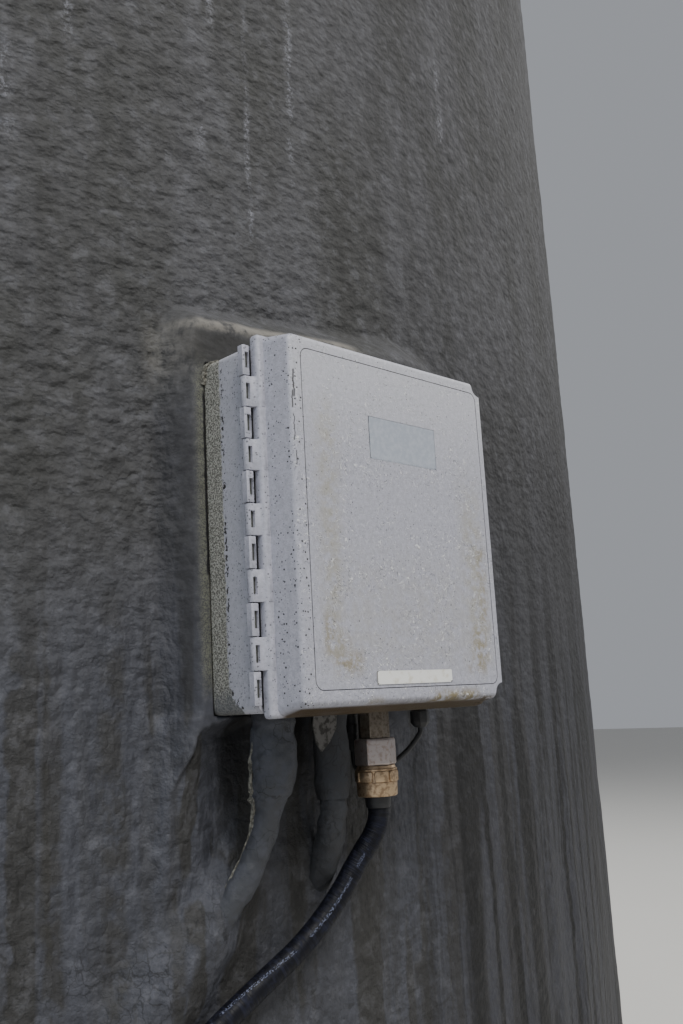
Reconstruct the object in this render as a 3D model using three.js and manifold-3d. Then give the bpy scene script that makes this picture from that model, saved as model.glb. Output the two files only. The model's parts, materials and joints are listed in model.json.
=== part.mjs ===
// A vertical storage tank: a polyethylene tank in a sprayed foam jacket, with its heater control box.
// Millimetres, +Z up. The origin is the centre of the tank's base on the ground, and the box faces -Y.
import * as THREE from "three";
import { mergeVertices } from "three/addons/utils/BufferGeometryUtils.js";
import Module from "manifold-3d";

const wasm = await Module();
wasm.setup();

// Clearance between pieces that touch.
const SEAT = 0.3;

// Tank and jacket.
const LINER_R = 1803.4;
const LINER_WALL = 12;
const LINER_KNUCKLE_R = 75;
const FOAM = 50;
const JACKET_R = LINER_R + FOAM + 0.6;
const JACKET_KNUCKLE_R = 100;
const WALL_TOP = 3580;
const SHOULDER_R = 350;
const DOME_SLOPE = THREE.MathUtils.degToRad(18);
const TANK_SIDES = 48;
const WALL_PIECES = 8;

// Foam profile: where its crown is stepped, and where its base meets the tank's knuckle.
const CROWN_STEPS = [1240, 820];
const FOAM_FIT = 0.4;
const BASE_FIT = 3;

// Manway on the crown, with its lid.
const MANWAY = { r: 317, wall: 12, rise: 95, lip: 22, lipThick: 16 };
const LID = { r: 356, skirt: 10, skirtDrop: 30, edge: 14, shoulder: 24, shoulderIn: 20 };
const LID_CROWN = { stepR: 200, step: 40, rise: 46 };

// Vent and filler cap. An azimuth is counted from -Y towards +X.
const TOP_FITTING_RADIUS = 860;
const BOSS_ROOT = 60;
const VENT = { azimuth: 100, bossR: 85, bossRise: 42, pipeR: 57, pipeLength: 90 };
const VENT_CAP = [[0, 0], [62, 0], [82, -22], [90, -22], [90, 6], [60, 30], [0, 36]];
const FILLER = { azimuth: 260, bossR: 80, bossRise: 38 };
const FILLER_CAP = [[0, 0], [66, 0], [66, 32], [58, 38], [0, 38]];

// Outlet at the foot of the wall, on the side away from the control box.
const OUTLET = { z: 240, pipeR: 45, pipeLength: 70, collarR: 88, collarRoot: 30, collarProud: 38 };
const OUTLET_FLANGE = { r: 95, thick: 22, coverThick: 18 };

// Control box. Its own frame has X to the right, Y back into the tank and Z up. The door's face is
// Y = 0, and X = Z = 0 is the lower left corner of the line moulded into the door.
const BOX_X = -130;
const BOX_Z = 1320;
const BOX_DEPTH = 144.2;
const BOX_Y = -JACKET_R - SEAT - BOX_DEPTH;
const BASE = { x0: -30, x1: 287.5, z0: -17.5, z1: 341, front: 46, wall: 5, corner: 8 };
const DOOR = { back: 42.5, skin: 4, corner: 8, edge: 5, round: 2.5 };
const DOOR_FACE = { x0: -13.5, x1: 280.5, z0: -13.5, z1: 344.3 };
const DOOR_RIM = { x0: -20.5, x1: 287.5, z0: -22.8, z1: 350 };
const DOOR_INSIDE = { x0: -13, x1: 275, z0: -9, z1: 337 };
const FLANGE = { x0: -27, front: 30 };
const NOTCH = { x: 277, heights: [341, -10.5], r: 12, floor: 34, boss: 16 };
const SCREW = { headR: 6.5, headHeight: 6, shankR: 2.9, shankLength: 12, holeR: 3.3 };
const GASKET = { x0: -27.5, x1: 284.5, z0: -14.5, z1: 338, width: 5 };
const PANEL = { margin: 22, thick: 2.5, standoff: 7.5, footR: 6, footInset: 14 };

// Hinge down the left side: knuckles of the base and of the door by turns.
const HINGE = { x: -34.5, y: 43, top: 338, pitch: 31.7, gap: 1, knuckles: 11 };
const KNUCKLE = { r: 5, bore: 2.4, pin: 2, webFrom: 1, webTo: 7 };

// Label places on the door's face.
const PLATE = { x0: 90, x1: 192, z0: 231.5, z1: 276, recess: 1.3, thick: 0.8 };
const TAPE = { x0: 80, x1: 192, z0: 4, z1: 17, thick: 0.5 };

// Foam raised round the back of the box.
const MOUND = { proud: 32.5, side: 50, above: 74, below: 39, sideDrop: 12, crest: 14, lean: 4, fall: 40 };

// Fittings in the bottom of the box, in the box's frame.
const GRIP = { x: 168, y: 95, neckR: 17.3, hexTop: -50.8, hexFlats: 39.5 };
const NUT = { top: -79, bottom: -111, r: 23, band: 5, bandIn: 4, ring: 12, ringIn: 2 };
const GROMMET = { length: 12, r0: 14.5, r1: 12.4 };
const GLAND = { x: 249, y: 100, r: 8.7, length: 23.5, end: 6, endIn: 2.5, waist: 1 };
const PROBE = { x: 164, y: 125, r: 6, length: 46, tip: 5, tipIn: 2.5 };
const WIRE_R = 2.6;

// Foam-coated conduits, in the part's frame.
const CONDUIT_LEFT_R = 22.5;
const CONDUIT_MIDDLE_R = 13.5;
const FITTING_MIDDLE = { x: -21.5, y: -1897, r0: 21, r1: 17, bottom: 1212, taper: 30, overlap: 10 };

// Supply cable, in the part's frame.
const CABLE_R = 11.4;
const TURN_STEP = 23.4;
const COIL = { x: -577, y: -2085, firstR: 105, turns: 2.5, lift: 2.8, shoulder: 20 };
const TAIL_LENGTH = 128;
const TAIL_RISE = [
  [0, 0], [0.16, 0], [0.32, 0.12], [0.48, 0.42],
  [0.64, 0.76], [0.8, 0.97], [0.9, 1], [1, 1],
];
const TIE = { width: 12, thick: 1.5, clear: 1 };
const PLUG = { r: 29, length: 92, neck: 4, boot: 6, bootLength: 18, coneEnd: 30, bodyStart: 40 };
const BLADE = { width: 8, thick: 2, length: 24, offset: 12 };

const COLOURS = {
  jacket: { color: 0x55564f, roughness: 0.85, metalness: 0 },
  poly: { color: 0x1d1f20, roughness: 0.6, metalness: 0 },
  fitting: { color: 0x2b2c2e, roughness: 0.55, metalness: 0 },
  fibreglass: { color: 0xb9bcc4, roughness: 0.6, metalness: 0 },
  steel: { color: 0x9d968c, roughness: 0.4, metalness: 1 },
  bronze: { color: 0x9a7350, roughness: 0.45, metalness: 1 },
  rubber: { color: 0x17181c, roughness: 0.5, metalness: 0 },
  label: { color: 0xa9b4bc, roughness: 0.5, metalness: 0 },
};

// A closed geometry as a solid whose faces point out.
function solidOf(geometry) {
  const bare = geometry.index ? geometry.toNonIndexed() : geometry.clone();
  bare.deleteAttribute("normal");
  bare.deleteAttribute("uv");
  const merged = mergeVertices(bare, 1e-3);
  const triVerts = new Uint32Array(merged.index.array);
  const vertProperties = merged.attributes.position.array;
  const made = new wasm.Manifold(new wasm.Mesh({ numProp: 3, vertProperties, triVerts }));
  if (made.volume() > 0) return made;
  for (let i = 0; i < triVerts.length; i += 3)
    [triVerts[i + 1], triVerts[i + 2]] = [triVerts[i + 2], triVerts[i + 1]];
  return new wasm.Manifold(new wasm.Mesh({ numProp: 3, vertProperties, triVerts }));
}

// A solid's surface as a three.js geometry.
function geometryOf(solid) {
  const mesh = solid.getMesh();
  const position = new Float32Array(mesh.numVert * 3);
  for (let i = 0; i < mesh.numVert; i++)
    position.set(mesh.vertProperties.subarray(i * mesh.numProp, i * mesh.numProp + 3), i * 3);
  const geometry = new THREE.BufferGeometry();
  geometry.setAttribute("position", new THREE.BufferAttribute(position, 3));
  geometry.setIndex(new THREE.BufferAttribute(mesh.triVerts, 1));
  return geometry;
}

const cut = (body, ...tools) => tools.reduce((left, tool) => left.subtract(tool), body);
const join = (...solids) => solids.reduce((sum, solid) => sum.add(solid));

// A solid as the named mesh of a group.
function addMesh(group, name, solid, look) {
  const mesh = new THREE.Mesh(geometryOf(solid), new THREE.MeshStandardMaterial(COLOURS[look]));
  mesh.name = name;
  group.add(mesh);
  return mesh;
}

// Points of an arc from one angle to another, in degrees, with its own centre.
function arc(cx, cy, radius, from, to, steps) {
  return Array.from({ length: steps + 1 }, (_, i) => {
    const angle = THREE.MathUtils.degToRad(from + ((to - from) * i) / steps);
    return [cx + radius * Math.cos(angle), cy + radius * Math.sin(angle)];
  });
}

// A profile of [radius, height] points turned round the Z axis.
function turned(profile, sides, phase = 0) {
  const points = profile.map(([r, z]) => new THREE.Vector2(r, z));
  const closed = points[0].x > 0 || points.at(-1).x > 0 ? [...points, points[0].clone()] : points;
  return new THREE.LatheGeometry(closed, sides, phase).rotateX(Math.PI / 2);
}

// A large profile turned with its flats, not its corners, at the stated radii. One flat faces -Y.
function turnedTank(profile) {
  const half = Math.PI / TANK_SIDES;
  const grow = 1 / Math.cos(half);
  return solidOf(turned(profile, TANK_SIDES, half).scale(grow, grow, 1));
}

// The wall's outline between two heights, grown by the gap, to cut what stands against it.
function cylinderBody(z0, z1) {
  const r = JACKET_R + SEAT;
  return turnedTank([[0, z0], [r, z0], [r, z1], [0, z1]]);
}

// A plain box between two corners.
function block(x0, x1, y0, y1, z0, z1) {
  const box = new THREE.BoxGeometry(x1 - x0, y1 - y0, z1 - z0);
  return solidOf(box.translate((x0 + x1) / 2, (y0 + y1) / 2, (z0 + z1) / 2));
}

// A round bar along Z, or along Y when lying.
function bar(x, y, z, radius, length, sides, lying = false) {
  const cylinder = new THREE.CylinderGeometry(radius, radius, length, sides);
  if (!lying) cylinder.rotateX(Math.PI / 2);
  return solidOf(cylinder.translate(x, y, z));
}

// A rounded rectangle in X and Z, as a shape.
function roundedRect({ x0, x1, z0, z1 }, r) {
  const shape = new THREE.Shape();
  shape.moveTo(x0 + r, z0).lineTo(x1 - r, z0);
  shape.absarc(x1 - r, z0 + r, r, -Math.PI / 2, 0);
  shape.absarc(x1 - r, z1 - r, r, 0, Math.PI / 2);
  shape.absarc(x0 + r, z1 - r, r, Math.PI / 2, Math.PI);
  shape.absarc(x0 + r, z0 + r, r, Math.PI, Math.PI * 1.5);
  shape.closePath();
  return shape;
}

// Limits moved in by a margin, or part of the way from one set of limits to another.
function inset({ x0, x1, z0, z1 }, by) {
  return { x0: x0 + by, x1: x1 - by, z0: z0 + by, z1: z1 - by };
}

function grown(from, to, share) {
  const part = (key) => from[key] + (to[key] - from[key]) * share;
  return { x0: part("x0"), x1: part("x1"), z0: part("z0"), z1: part("z1") };
}

// A shape in X and Z extruded back along Y.
function slab(shape, y0, y1, curveSegments = 3) {
  const geometry = new THREE.ExtrudeGeometry(shape, { depth: y1 - y0, bevelEnabled: false, curveSegments });
  return solidOf(geometry.rotateX(Math.PI / 2).translate(0, y1, 0));
}

// A rounded rectangle that changes size along Y. Each station has its own place, limits and corner.
function drafted(stations) {
  const unit = { x0: 0, x1: 100, z0: 0, z1: 100 };
  const corner = 10;
  const steps = stations.length - 1;
  const options = { depth: steps, steps, bevelEnabled: false, curveSegments: 3 };
  const geometry = new THREE.ExtrudeGeometry(roundedRect(unit, corner), options);
  const position = geometry.attributes.position;
  const fit = (value, low, high, r) => {
    if (value <= corner) return low + (value / corner) * r;
    if (value >= 100 - corner) return high - ((100 - value) / corner) * r;
    return low + r + ((value - corner) / (100 - 2 * corner)) * (high - low - 2 * r);
  };
  for (let i = 0; i < position.count; i++) {
    const station = stations[Math.round(position.getZ(i))];
    const x = fit(position.getX(i), station.x0, station.x1, station.corner);
    const z = fit(position.getY(i), station.z0, station.z1, station.corner);
    position.setXYZ(i, x, station.y, z);
  }
  return solidOf(geometry);
}

// A round section swept along a smooth curve through the points.
function swept(points, radius, sides, steps) {
  const path = new THREE.CatmullRomCurve3(points.map((p) => new THREE.Vector3(...p)), false, "centripetal");
  return sweptPath(path, radius, sides, steps);
}

function sweptPath(path, radius, sides, steps) {
  const section = new THREE.Shape();
  for (let i = 0; i < sides; i++) {
    const angle = (i / sides) * 2 * Math.PI;
    section[i ? "lineTo" : "moveTo"](radius * Math.cos(angle), radius * Math.sin(angle));
  }
  section.closePath();
  return solidOf(new THREE.ExtrudeGeometry(section, { steps, extrudePath: path, bevelEnabled: false }));
}

// Outer profile of the tank at a distance in from the jacket's face: knuckle, wall, shoulder, crown.
const CROWN_R = (JACKET_R - SHOULDER_R + SHOULDER_R * Math.sin(DOME_SLOPE)) / Math.sin(DOME_SLOPE);
const CROWN_Z = WALL_TOP + SHOULDER_R * Math.cos(DOME_SLOPE) - CROWN_R * Math.cos(DOME_SLOPE);
const crownHeight = (r, inset) => CROWN_Z + Math.sqrt((CROWN_R - inset) ** 2 - r ** 2);

function domeProfile(inset, holeR, raise = 0) {
  const centre = JACKET_R - SHOULDER_R;
  const turn = 90 - THREE.MathUtils.radToDeg(DOME_SLOPE);
  const shoulder = arc(centre, WALL_TOP + raise, SHOULDER_R - inset, 0, turn, 5);
  const crown = CROWN_STEPS.map((r) => [r, crownHeight(r, inset) + raise]);
  return [...shoulder, ...crown, [holeR, crownHeight(holeR, inset) + raise]];
}

function buildTank(group) {
  const kneeX = LINER_R - LINER_KNUCKLE_R;
  const linerKnee = (radius, from, to) => arc(kneeX, LINER_KNUCKLE_R, radius, from, to, 4);
  const wallTop = WALL_TOP - SEAT / 2;

  // Foam jacket wall, one ring cut into equal pieces.
  const ring = turnedTank([
    [kneeX + BASE_FIT, 0],
    ...arc(JACKET_R - JACKET_KNUCKLE_R, JACKET_KNUCKLE_R, JACKET_KNUCKLE_R, -90, 0, 4),
    [JACKET_R, wallTop],
    [LINER_R + FOAM_FIT, wallTop],
    ...linerKnee(LINER_KNUCKLE_R + FOAM_FIT, 0, -90).slice(0, 4),
  ]);
  for (let i = 0; i < WALL_PIECES; i++) {
    const half = Math.PI / WALL_PIECES;
    const reach = JACKET_R * 1.3;
    const wedge = new THREE.Shape();
    const shift = SEAT / 2 / Math.sin(half);
    wedge.moveTo(0, shift);
    wedge.lineTo(-reach * Math.tan(half), shift + reach).lineTo(reach * Math.tan(half), shift + reach);
    wedge.closePath();
    const sector = new THREE.ExtrudeGeometry(wedge, { depth: WALL_TOP + 20, bevelEnabled: false });
    sector.translate(0, 0, -10).rotateZ(Math.PI + (i * 2 * Math.PI) / WALL_PIECES);
    addMesh(group, `jacket_wall_${i + 1}`, ring.intersect(solidOf(sector)), "jacket");
  }

  // Foam over the dome, open at the manway.
  const domeHole = MANWAY.r + SEAT;
  const domeTop = domeProfile(0, domeHole, SEAT / 2);
  const domeUnder = domeProfile(FOAM, domeHole, SEAT / 2).reverse();
  addMesh(group, "jacket_dome", turnedTank([...domeTop, ...domeUnder]), "jacket");

  // Polyethylene tank inside the foam: wall with its knuckle, dome and floor.
  const innerR = LINER_R - LINER_WALL;
  const linerWall = [
    ...linerKnee(LINER_KNUCKLE_R, -90, 0),
    [LINER_R, wallTop],
    [innerR, wallTop],
    ...linerKnee(LINER_KNUCKLE_R - LINER_WALL, 0, -90),
  ];
  addMesh(group, "liner_wall", turnedTank(linerWall), "poly");
  const linerInset = JACKET_R - LINER_R;
  const linerHole = MANWAY.r - MANWAY.wall;
  const linerTop = domeProfile(linerInset, linerHole, SEAT / 2);
  const linerUnder = domeProfile(linerInset + LINER_WALL, linerHole, SEAT / 2).reverse();
  addMesh(group, "liner_dome", turnedTank([...linerTop, ...linerUnder]), "poly");
  const floorR = kneeX - 2 * SEAT;
  const floor = [[0, 0], [floorR, 0], [floorR, LINER_WALL], [0, LINER_WALL]];
  addMesh(group, "tank_floor", turnedTank(floor), "poly");
}

function buildTopFittings(group) {
  // Manway neck, standing on the polyethylene dome, and its lid.
  const neckFoot = crownHeight(MANWAY.r - MANWAY.wall, JACKET_R - LINER_R) + SEAT;
  const neckTop = crownHeight(MANWAY.r, 0) + MANWAY.rise;
  const bore = MANWAY.r - MANWAY.wall;
  const neck = [
    [bore, neckFoot],
    [MANWAY.r, neckFoot],
    [MANWAY.r, neckTop - MANWAY.lipThick],
    [MANWAY.r + MANWAY.lip, neckTop - MANWAY.lipThick],
    [MANWAY.r + MANWAY.lip, neckTop],
    [bore, neckTop],
  ];
  addMesh(group, "manway_neck", turnedTank(neck), "poly");
  const lidFoot = neckTop - LID.skirtDrop;
  const lid = [
    [0, neckTop + SEAT],
    [LID.r - LID.skirt, neckTop + SEAT],
    [LID.r - LID.skirt, lidFoot],
    [LID.r, lidFoot],
    [LID.r, neckTop + LID.edge],
    [LID.r - LID.shoulderIn, neckTop + LID.shoulder],
    [LID_CROWN.stepR, neckTop + LID_CROWN.step],
    [0, neckTop + LID_CROWN.rise],
  ];
  addMesh(group, "manway_lid", turnedTank(lid), "fitting");

  // Bosses that meet the sloping foam, with the vent and the filler cap on them.
  const crownBody = turnedTank([
    [0, WALL_TOP - 200],
    [JACKET_R, WALL_TOP - 200],
    ...domeProfile(-SEAT, MANWAY.r + SEAT, SEAT / 2),
    [0, crownHeight(0, -SEAT)],
  ]);
  const seatZ = crownHeight(TOP_FITTING_RADIUS, 0);
  const place = (azimuth) => {
    const angle = THREE.MathUtils.degToRad(azimuth);
    return [TOP_FITTING_RADIUS * Math.sin(angle), -TOP_FITTING_RADIUS * Math.cos(angle)];
  };
  const boss = (name, azimuth, radius, rise) => {
    const [x, y] = place(azimuth);
    const low = seatZ - BOSS_ROOT;
    const height = seatZ + rise - low;
    addMesh(group, name, cut(bar(x, y, low + height / 2, radius, height, 24), crownBody), "poly");
    return [x, y, seatZ + rise + SEAT];
  };
  const stand = (name, [x, y, z], profile, look) => {
    const piece = solidOf(turned(profile, 24).translate(x, y, z));
    addMesh(group, name, piece, look);
  };
  const ventSeat = boss("vent_boss", VENT.azimuth, VENT.bossR, VENT.bossRise);
  const ventPipe = [[0, 0], [VENT.pipeR, 0], [VENT.pipeR, VENT.pipeLength], [0, VENT.pipeLength]];
  stand("vent_pipe", ventSeat, ventPipe, "fitting");
  const capSeat = [ventSeat[0], ventSeat[1], ventSeat[2] + VENT.pipeLength + SEAT];
  stand("vent_cap", capSeat, VENT_CAP, "fitting");
  const fillerSeat = boss("filler_boss", FILLER.azimuth, FILLER.bossR, FILLER.bossRise);
  stand("filler_cap", fillerSeat, FILLER_CAP, "fitting");
}

function buildOutlet(group) {
  // A collar against the round wall, a short pipe and a blind flange. A disc is [radius, from, to].
  const turnOut = (profile) => solidOf(turned(profile, 24).rotateX(-Math.PI / 2).translate(0, 0, OUTLET.z));
  const disc = (r, from, to) => turnOut([[0, from], [r, from], [r, to], [0, to]]);
  const wallBody = cylinderBody(OUTLET.z - 2 * OUTLET.collarR, OUTLET.z + 2 * OUTLET.collarR);
  const collarEnd = JACKET_R + OUTLET.collarProud;
  const collar = disc(OUTLET.collarR, JACKET_R - OUTLET.collarRoot, collarEnd);
  addMesh(group, "outlet_collar", cut(collar, wallBody), "poly");
  const pipeFrom = collarEnd + SEAT;
  const flangeFrom = pipeFrom + OUTLET.pipeLength;
  const flangeTo = flangeFrom + OUTLET_FLANGE.thick;
  const pipe = [
    [0, pipeFrom],
    [OUTLET.pipeR, pipeFrom],
    [OUTLET.pipeR, flangeFrom],
    [OUTLET_FLANGE.r, flangeFrom],
    [OUTLET_FLANGE.r, flangeTo],
    [0, flangeTo],
  ];
  addMesh(group, "outlet_pipe", turnOut(pipe), "fitting");
  const coverFrom = flangeTo + SEAT;
  const cover = disc(OUTLET_FLANGE.r, coverFrom, coverFrom + OUTLET_FLANGE.coverThick);
  addMesh(group, "outlet_cover", cover, "fitting");
}

// Knuckle k of the hinge, counted from the top: its height limits, less half the gap at each end.
function knuckleSpan(k) {
  const z1 = HINGE.top - k * HINGE.pitch - HINGE.gap / 2;
  return [z1 - HINGE.pitch + HINGE.gap, z1];
}

function knuckle(k, web) {
  const [z0, z1] = knuckleSpan(k);
  const barrel = bar(HINGE.x, HINGE.y, (z0 + z1) / 2, KNUCKLE.r, z1 - z0, 12);
  return join(barrel, block(web.x0, web.x1, web.y0, web.y1, z0, z1));
}

// A screw pocket cut into a free corner of the door, round inside and open to both edges.
function screwPocket(z) {
  const reach = 30;
  const out = z > 0 ? [z, z + reach] : [z - reach, z];
  const sideZ = z > 0 ? [z - NOTCH.r, out[1]] : [out[0], z + NOTCH.r];
  const round = bar(NOTCH.x, NOTCH.floor / 2 - 5, z, NOTCH.r, NOTCH.floor + 10, 16, true);
  const side = block(NOTCH.x, NOTCH.x + reach, -10, NOTCH.floor, ...sideZ);
  const end = block(NOTCH.x - NOTCH.r, NOTCH.x + 1, -10, NOTCH.floor, ...out);
  return join(round, side, end);
}

// Back half of the box, open to the front, with its share of the knuckles.
function buildBase(group, inside, bore, knuckles) {
  const shell = slab(roundedRect(BASE, BASE.corner), BASE.front, BOX_DEPTH);
  const hollow = slab(roundedRect(inside, BASE.corner - 3), BASE.front - 5, BOX_DEPTH - BASE.wall);
  const web = {
    x0: HINGE.x,
    x1: BASE.x0 + 1,
    y0: HINGE.y + KNUCKLE.webFrom,
    y1: HINGE.y + KNUCKLE.webTo,
  };
  const body = join(cut(shell, hollow), ...knuckles.map((k) => knuckle(k, web)));
  addMesh(group, "box_body", cut(body, bore), "fibreglass");
}

// Door: a drafted pan with a flange on the hinge side and a screw pocket at each free corner.
function buildDoor(group, bore, knuckles) {
  const edge = grown(DOOR_FACE, DOOR_RIM, DOOR.edge / DOOR.back);
  const pan = drafted([
    { y: 0, ...inset(DOOR_FACE, DOOR.round), corner: DOOR.corner },
    { y: DOOR.edge, ...edge, corner: DOOR.corner },
    { y: DOOR.back, ...DOOR_RIM, corner: DOOR.corner },
  ]);
  const flangeLimits = { ...DOOR_RIM, x0: FLANGE.x0, x1: DOOR_RIM.x0 + 12 };
  const flange = slab(roundedRect(flangeLimits, 4), FLANGE.front, DOOR.back);
  const insideDoor = slab(roundedRect(DOOR_INSIDE, 5), DOOR.skin, DOOR.back + 5);
  const bosses = NOTCH.heights.map((z) =>
    bar(NOTCH.x, DOOR.back / 2, z, NOTCH.boss, DOOR.back + 20, 16, true),
  );
  const pockets = NOTCH.heights.map(screwPocket);
  const holes = NOTCH.heights.map((z) => bar(NOTCH.x, DOOR.back, z, SCREW.holeR, 40, 12, true));
  const plate = inset(PLATE, -SEAT);
  const plateRecess = block(plate.x0, plate.x1, -5, PLATE.recess, plate.z0, plate.z1);
  const web = {
    x0: HINGE.x,
    x1: DOOR_RIM.x0,
    y0: HINGE.y - KNUCKLE.r + 0.3,
    y1: DOOR.back,
  };
  const shell = cut(join(pan, flange), cut(insideDoor, ...bosses), ...pockets, ...holes, plateRecess);
  const door = join(shell, ...knuckles.map((k) => knuckle(k, web)));
  addMesh(group, "box_door", cut(door, bore), "fibreglass");

  NOTCH.heights.forEach((z) => {
    const headY = NOTCH.floor - SEAT - SCREW.headHeight / 2;
    const head = bar(NOTCH.x, headY, z, SCREW.headR, SCREW.headHeight, 6, true);
    const shank = bar(NOTCH.x, NOTCH.floor + 2, z, SCREW.shankR, SCREW.shankLength, 12, true);
    addMesh(group, z > 0 ? "cover_screw_top" : "cover_screw_bottom", join(head, shank), "steel");
  });

  const plateFace = PLATE.recess - SEAT - PLATE.thick;
  const plateBlock = block(PLATE.x0, PLATE.x1, plateFace, plateFace + PLATE.thick, PLATE.z0, PLATE.z1);
  addMesh(group, "name_plate", plateBlock, "label");
  const tape = block(TAPE.x0, TAPE.x1, -SEAT - TAPE.thick, -SEAT, TAPE.z0, TAPE.z1);
  addMesh(group, "tape_label", tape, "label");
}

function buildBox(group) {
  const inside = inset(BASE, BASE.wall);
  const bore = bar(HINGE.x, HINGE.y, HINGE.top / 2, KNUCKLE.bore, HINGE.top * 1.3, 12);
  const all = Array.from({ length: HINGE.knuckles }, (_, k) => k);
  buildBase(group, inside, bore, all.filter((k) => k % 2 === 0));
  buildDoor(group, bore, all.filter((k) => k % 2 === 1));

  const pinLow = knuckleSpan(HINGE.knuckles - 1)[0];
  const pin = bar(HINGE.x, HINGE.y, (HINGE.top + pinLow) / 2, KNUCKLE.pin, HINGE.top - pinLow, 12);
  addMesh(group, "hinge_pin", pin, "steel");

  const seal = cut(
    slab(roundedRect(GASKET, 6), DOOR.back + SEAT, BASE.front - SEAT),
    slab(roundedRect(inset(GASKET, GASKET.width), 3), DOOR.back - 5, BASE.front + 5),
  );
  addMesh(group, "door_gasket", seal, "rubber");

  // Panel for the control gear, on four feet against the back of the box.
  const back = BOX_DEPTH - BASE.wall - SEAT;
  const limits = inset(inside, PANEL.margin);
  const footAt = inset(limits, PANEL.footInset);
  const feet = [footAt.x0, footAt.x1].flatMap((x) =>
    [footAt.z0, footAt.z1].map((z) => bar(x, back - 4, z, PANEL.footR, 8, 12, true)),
  );
  const plateBack = back - PANEL.standoff;
  const panel = slab(roundedRect(limits, 4), plateBack - PANEL.thick, plateBack);
  addMesh(group, "back_panel", join(panel, ...feet), "steel");
}

function buildMound(group) {
  // Foam banked against the box at both sides and above it, cut to the round wall.
  const wallBody = cylinderBody(BOX_Z - 400, BOX_Z + 700);
  const left = BOX_X + BASE.x0 - SEAT;
  const right = BOX_X + BASE.x1 + SEAT;
  const top = BOX_Z + BASE.z1 + SEAT;
  const bottom = BOX_Z + BASE.z0 - MOUND.below;
  const crest = -JACKET_R - MOUND.proud;
  const foot = -JACKET_R + MOUND.fall;
  const sideTop = top + MOUND.above - MOUND.sideDrop;
  [["foam_mound_left", left, -1], ["foam_mound_right", right, 1]].forEach(([name, x, way]) => {
    const outline = [
      [x, foot],
      [x, crest],
      [x + way * MOUND.crest, crest + MOUND.lean],
      [x + way * MOUND.side, crest + MOUND.fall],
      [x + way * MOUND.side, foot],
    ];
    const shape = new THREE.Shape(outline.map(([px, py]) => new THREE.Vector2(px, py)));
    const prism = new THREE.ExtrudeGeometry(shape, { depth: sideTop - bottom, bevelEnabled: false });
    addMesh(group, name, cut(solidOf(prism.translate(0, 0, bottom)), wallBody), "jacket");
  });

  // The ledge above the box, drawn in Y and Z and extruded along X.
  const ledge = new THREE.Shape();
  ledge.moveTo(foot, top).lineTo(crest, top);
  ledge.lineTo(crest + MOUND.lean, top + MOUND.above * 0.75);
  ledge.lineTo(crest + MOUND.fall, top + MOUND.above).lineTo(foot, top + MOUND.above).closePath();
  const width = right - left - 2 * SEAT;
  const alongX = new THREE.Matrix4().makeBasis(
    new THREE.Vector3(0, 1, 0),
    new THREE.Vector3(0, 0, 1),
    new THREE.Vector3(1, 0, 0),
  );
  const prism = new THREE.ExtrudeGeometry(ledge, { depth: width, bevelEnabled: false });
  const bank = solidOf(prism.applyMatrix4(alongX).translate(left + SEAT, 0, 0));
  addMesh(group, "foam_mound_top", cut(bank, wallBody), "jacket");
}

function buildGlands(group) {
  // Cord grip, gland and probe holder screwed into the bottom of the box.
  const under = BASE.z0 - SEAT;
  const lathe = (name, x, y, profile, sides, look) =>
    addMesh(group, name, solidOf(turned(profile, sides).translate(x, y, 0)), look);
  const stub = (r, z0, z1) => [[0, z0], [r, z0], [r, z1], [0, z1]];
  const hexR = GRIP.hexFlats / 2 / Math.cos(Math.PI / 6);
  const nut = [
    [0, NUT.bottom],
    [NUT.r - NUT.ringIn, NUT.bottom],
    [NUT.r - NUT.ringIn / 2, NUT.bottom + NUT.ring],
    [NUT.r, NUT.bottom + NUT.ring + 1],
    [NUT.r, NUT.top - NUT.band],
    [NUT.r - NUT.bandIn, NUT.top],
    [0, NUT.top],
  ];
  const grommetTop = NUT.bottom - SEAT;
  const grommetEnd = grommetTop - GROMMET.length;
  const grommet = [[0, grommetEnd], [GROMMET.r1, grommetEnd], [GROMMET.r0, grommetTop], [0, grommetTop]];
  lathe("cord_grip_neck", GRIP.x, GRIP.y, stub(GRIP.neckR, GRIP.hexTop + SEAT, under), 20, "steel");
  lathe("cord_grip_body", GRIP.x, GRIP.y, stub(hexR, NUT.top + SEAT, GRIP.hexTop), 6, "steel");
  lathe("cord_grip_nut", GRIP.x, GRIP.y, nut, 24, "bronze");
  lathe("cord_grip_grommet", GRIP.x, GRIP.y, grommet, 20, "rubber");

  const glandEnd = under - GLAND.length;
  const gland = [
    [0, glandEnd],
    [GLAND.r - GLAND.endIn, glandEnd],
    [GLAND.r - GLAND.waist, glandEnd + GLAND.end],
    [GLAND.r, glandEnd + GLAND.end + 2],
    [GLAND.r, under],
    [0, under],
  ];
  lathe("sensor_gland", GLAND.x, GLAND.y, gland, 12, "rubber");
  const probeEnd = under - PROBE.length;
  const probe = [
    [0, probeEnd],
    [PROBE.r - PROBE.tipIn, probeEnd],
    [PROBE.r, probeEnd + PROBE.tip],
    [PROBE.r, under],
    [0, under],
  ];
  lathe("probe_holder", PROBE.x, PROBE.y, probe, 12, "rubber");

  // Thin wire that dips from the gland, passes behind the grip and turns up into the probe holder.
  const wire = [
    [GLAND.x, GLAND.y, glandEnd - SEAT],
    [GLAND.x, GLAND.y, glandEnd - 6],
    [243, 102, -58],
    [228, 108, -71],
    [208, 116, -81],
    [190, 122.5, -86.5],
    [176, 125.5, -87],
    [167, 125.5, -81],
    [PROBE.x, PROBE.y, probeEnd - 6],
    [PROBE.x, PROBE.y, probeEnd - SEAT],
  ];
  addMesh(group, "sensor_wire", swept(wire, WIRE_R, 8, 20), "rubber");
}

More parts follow.
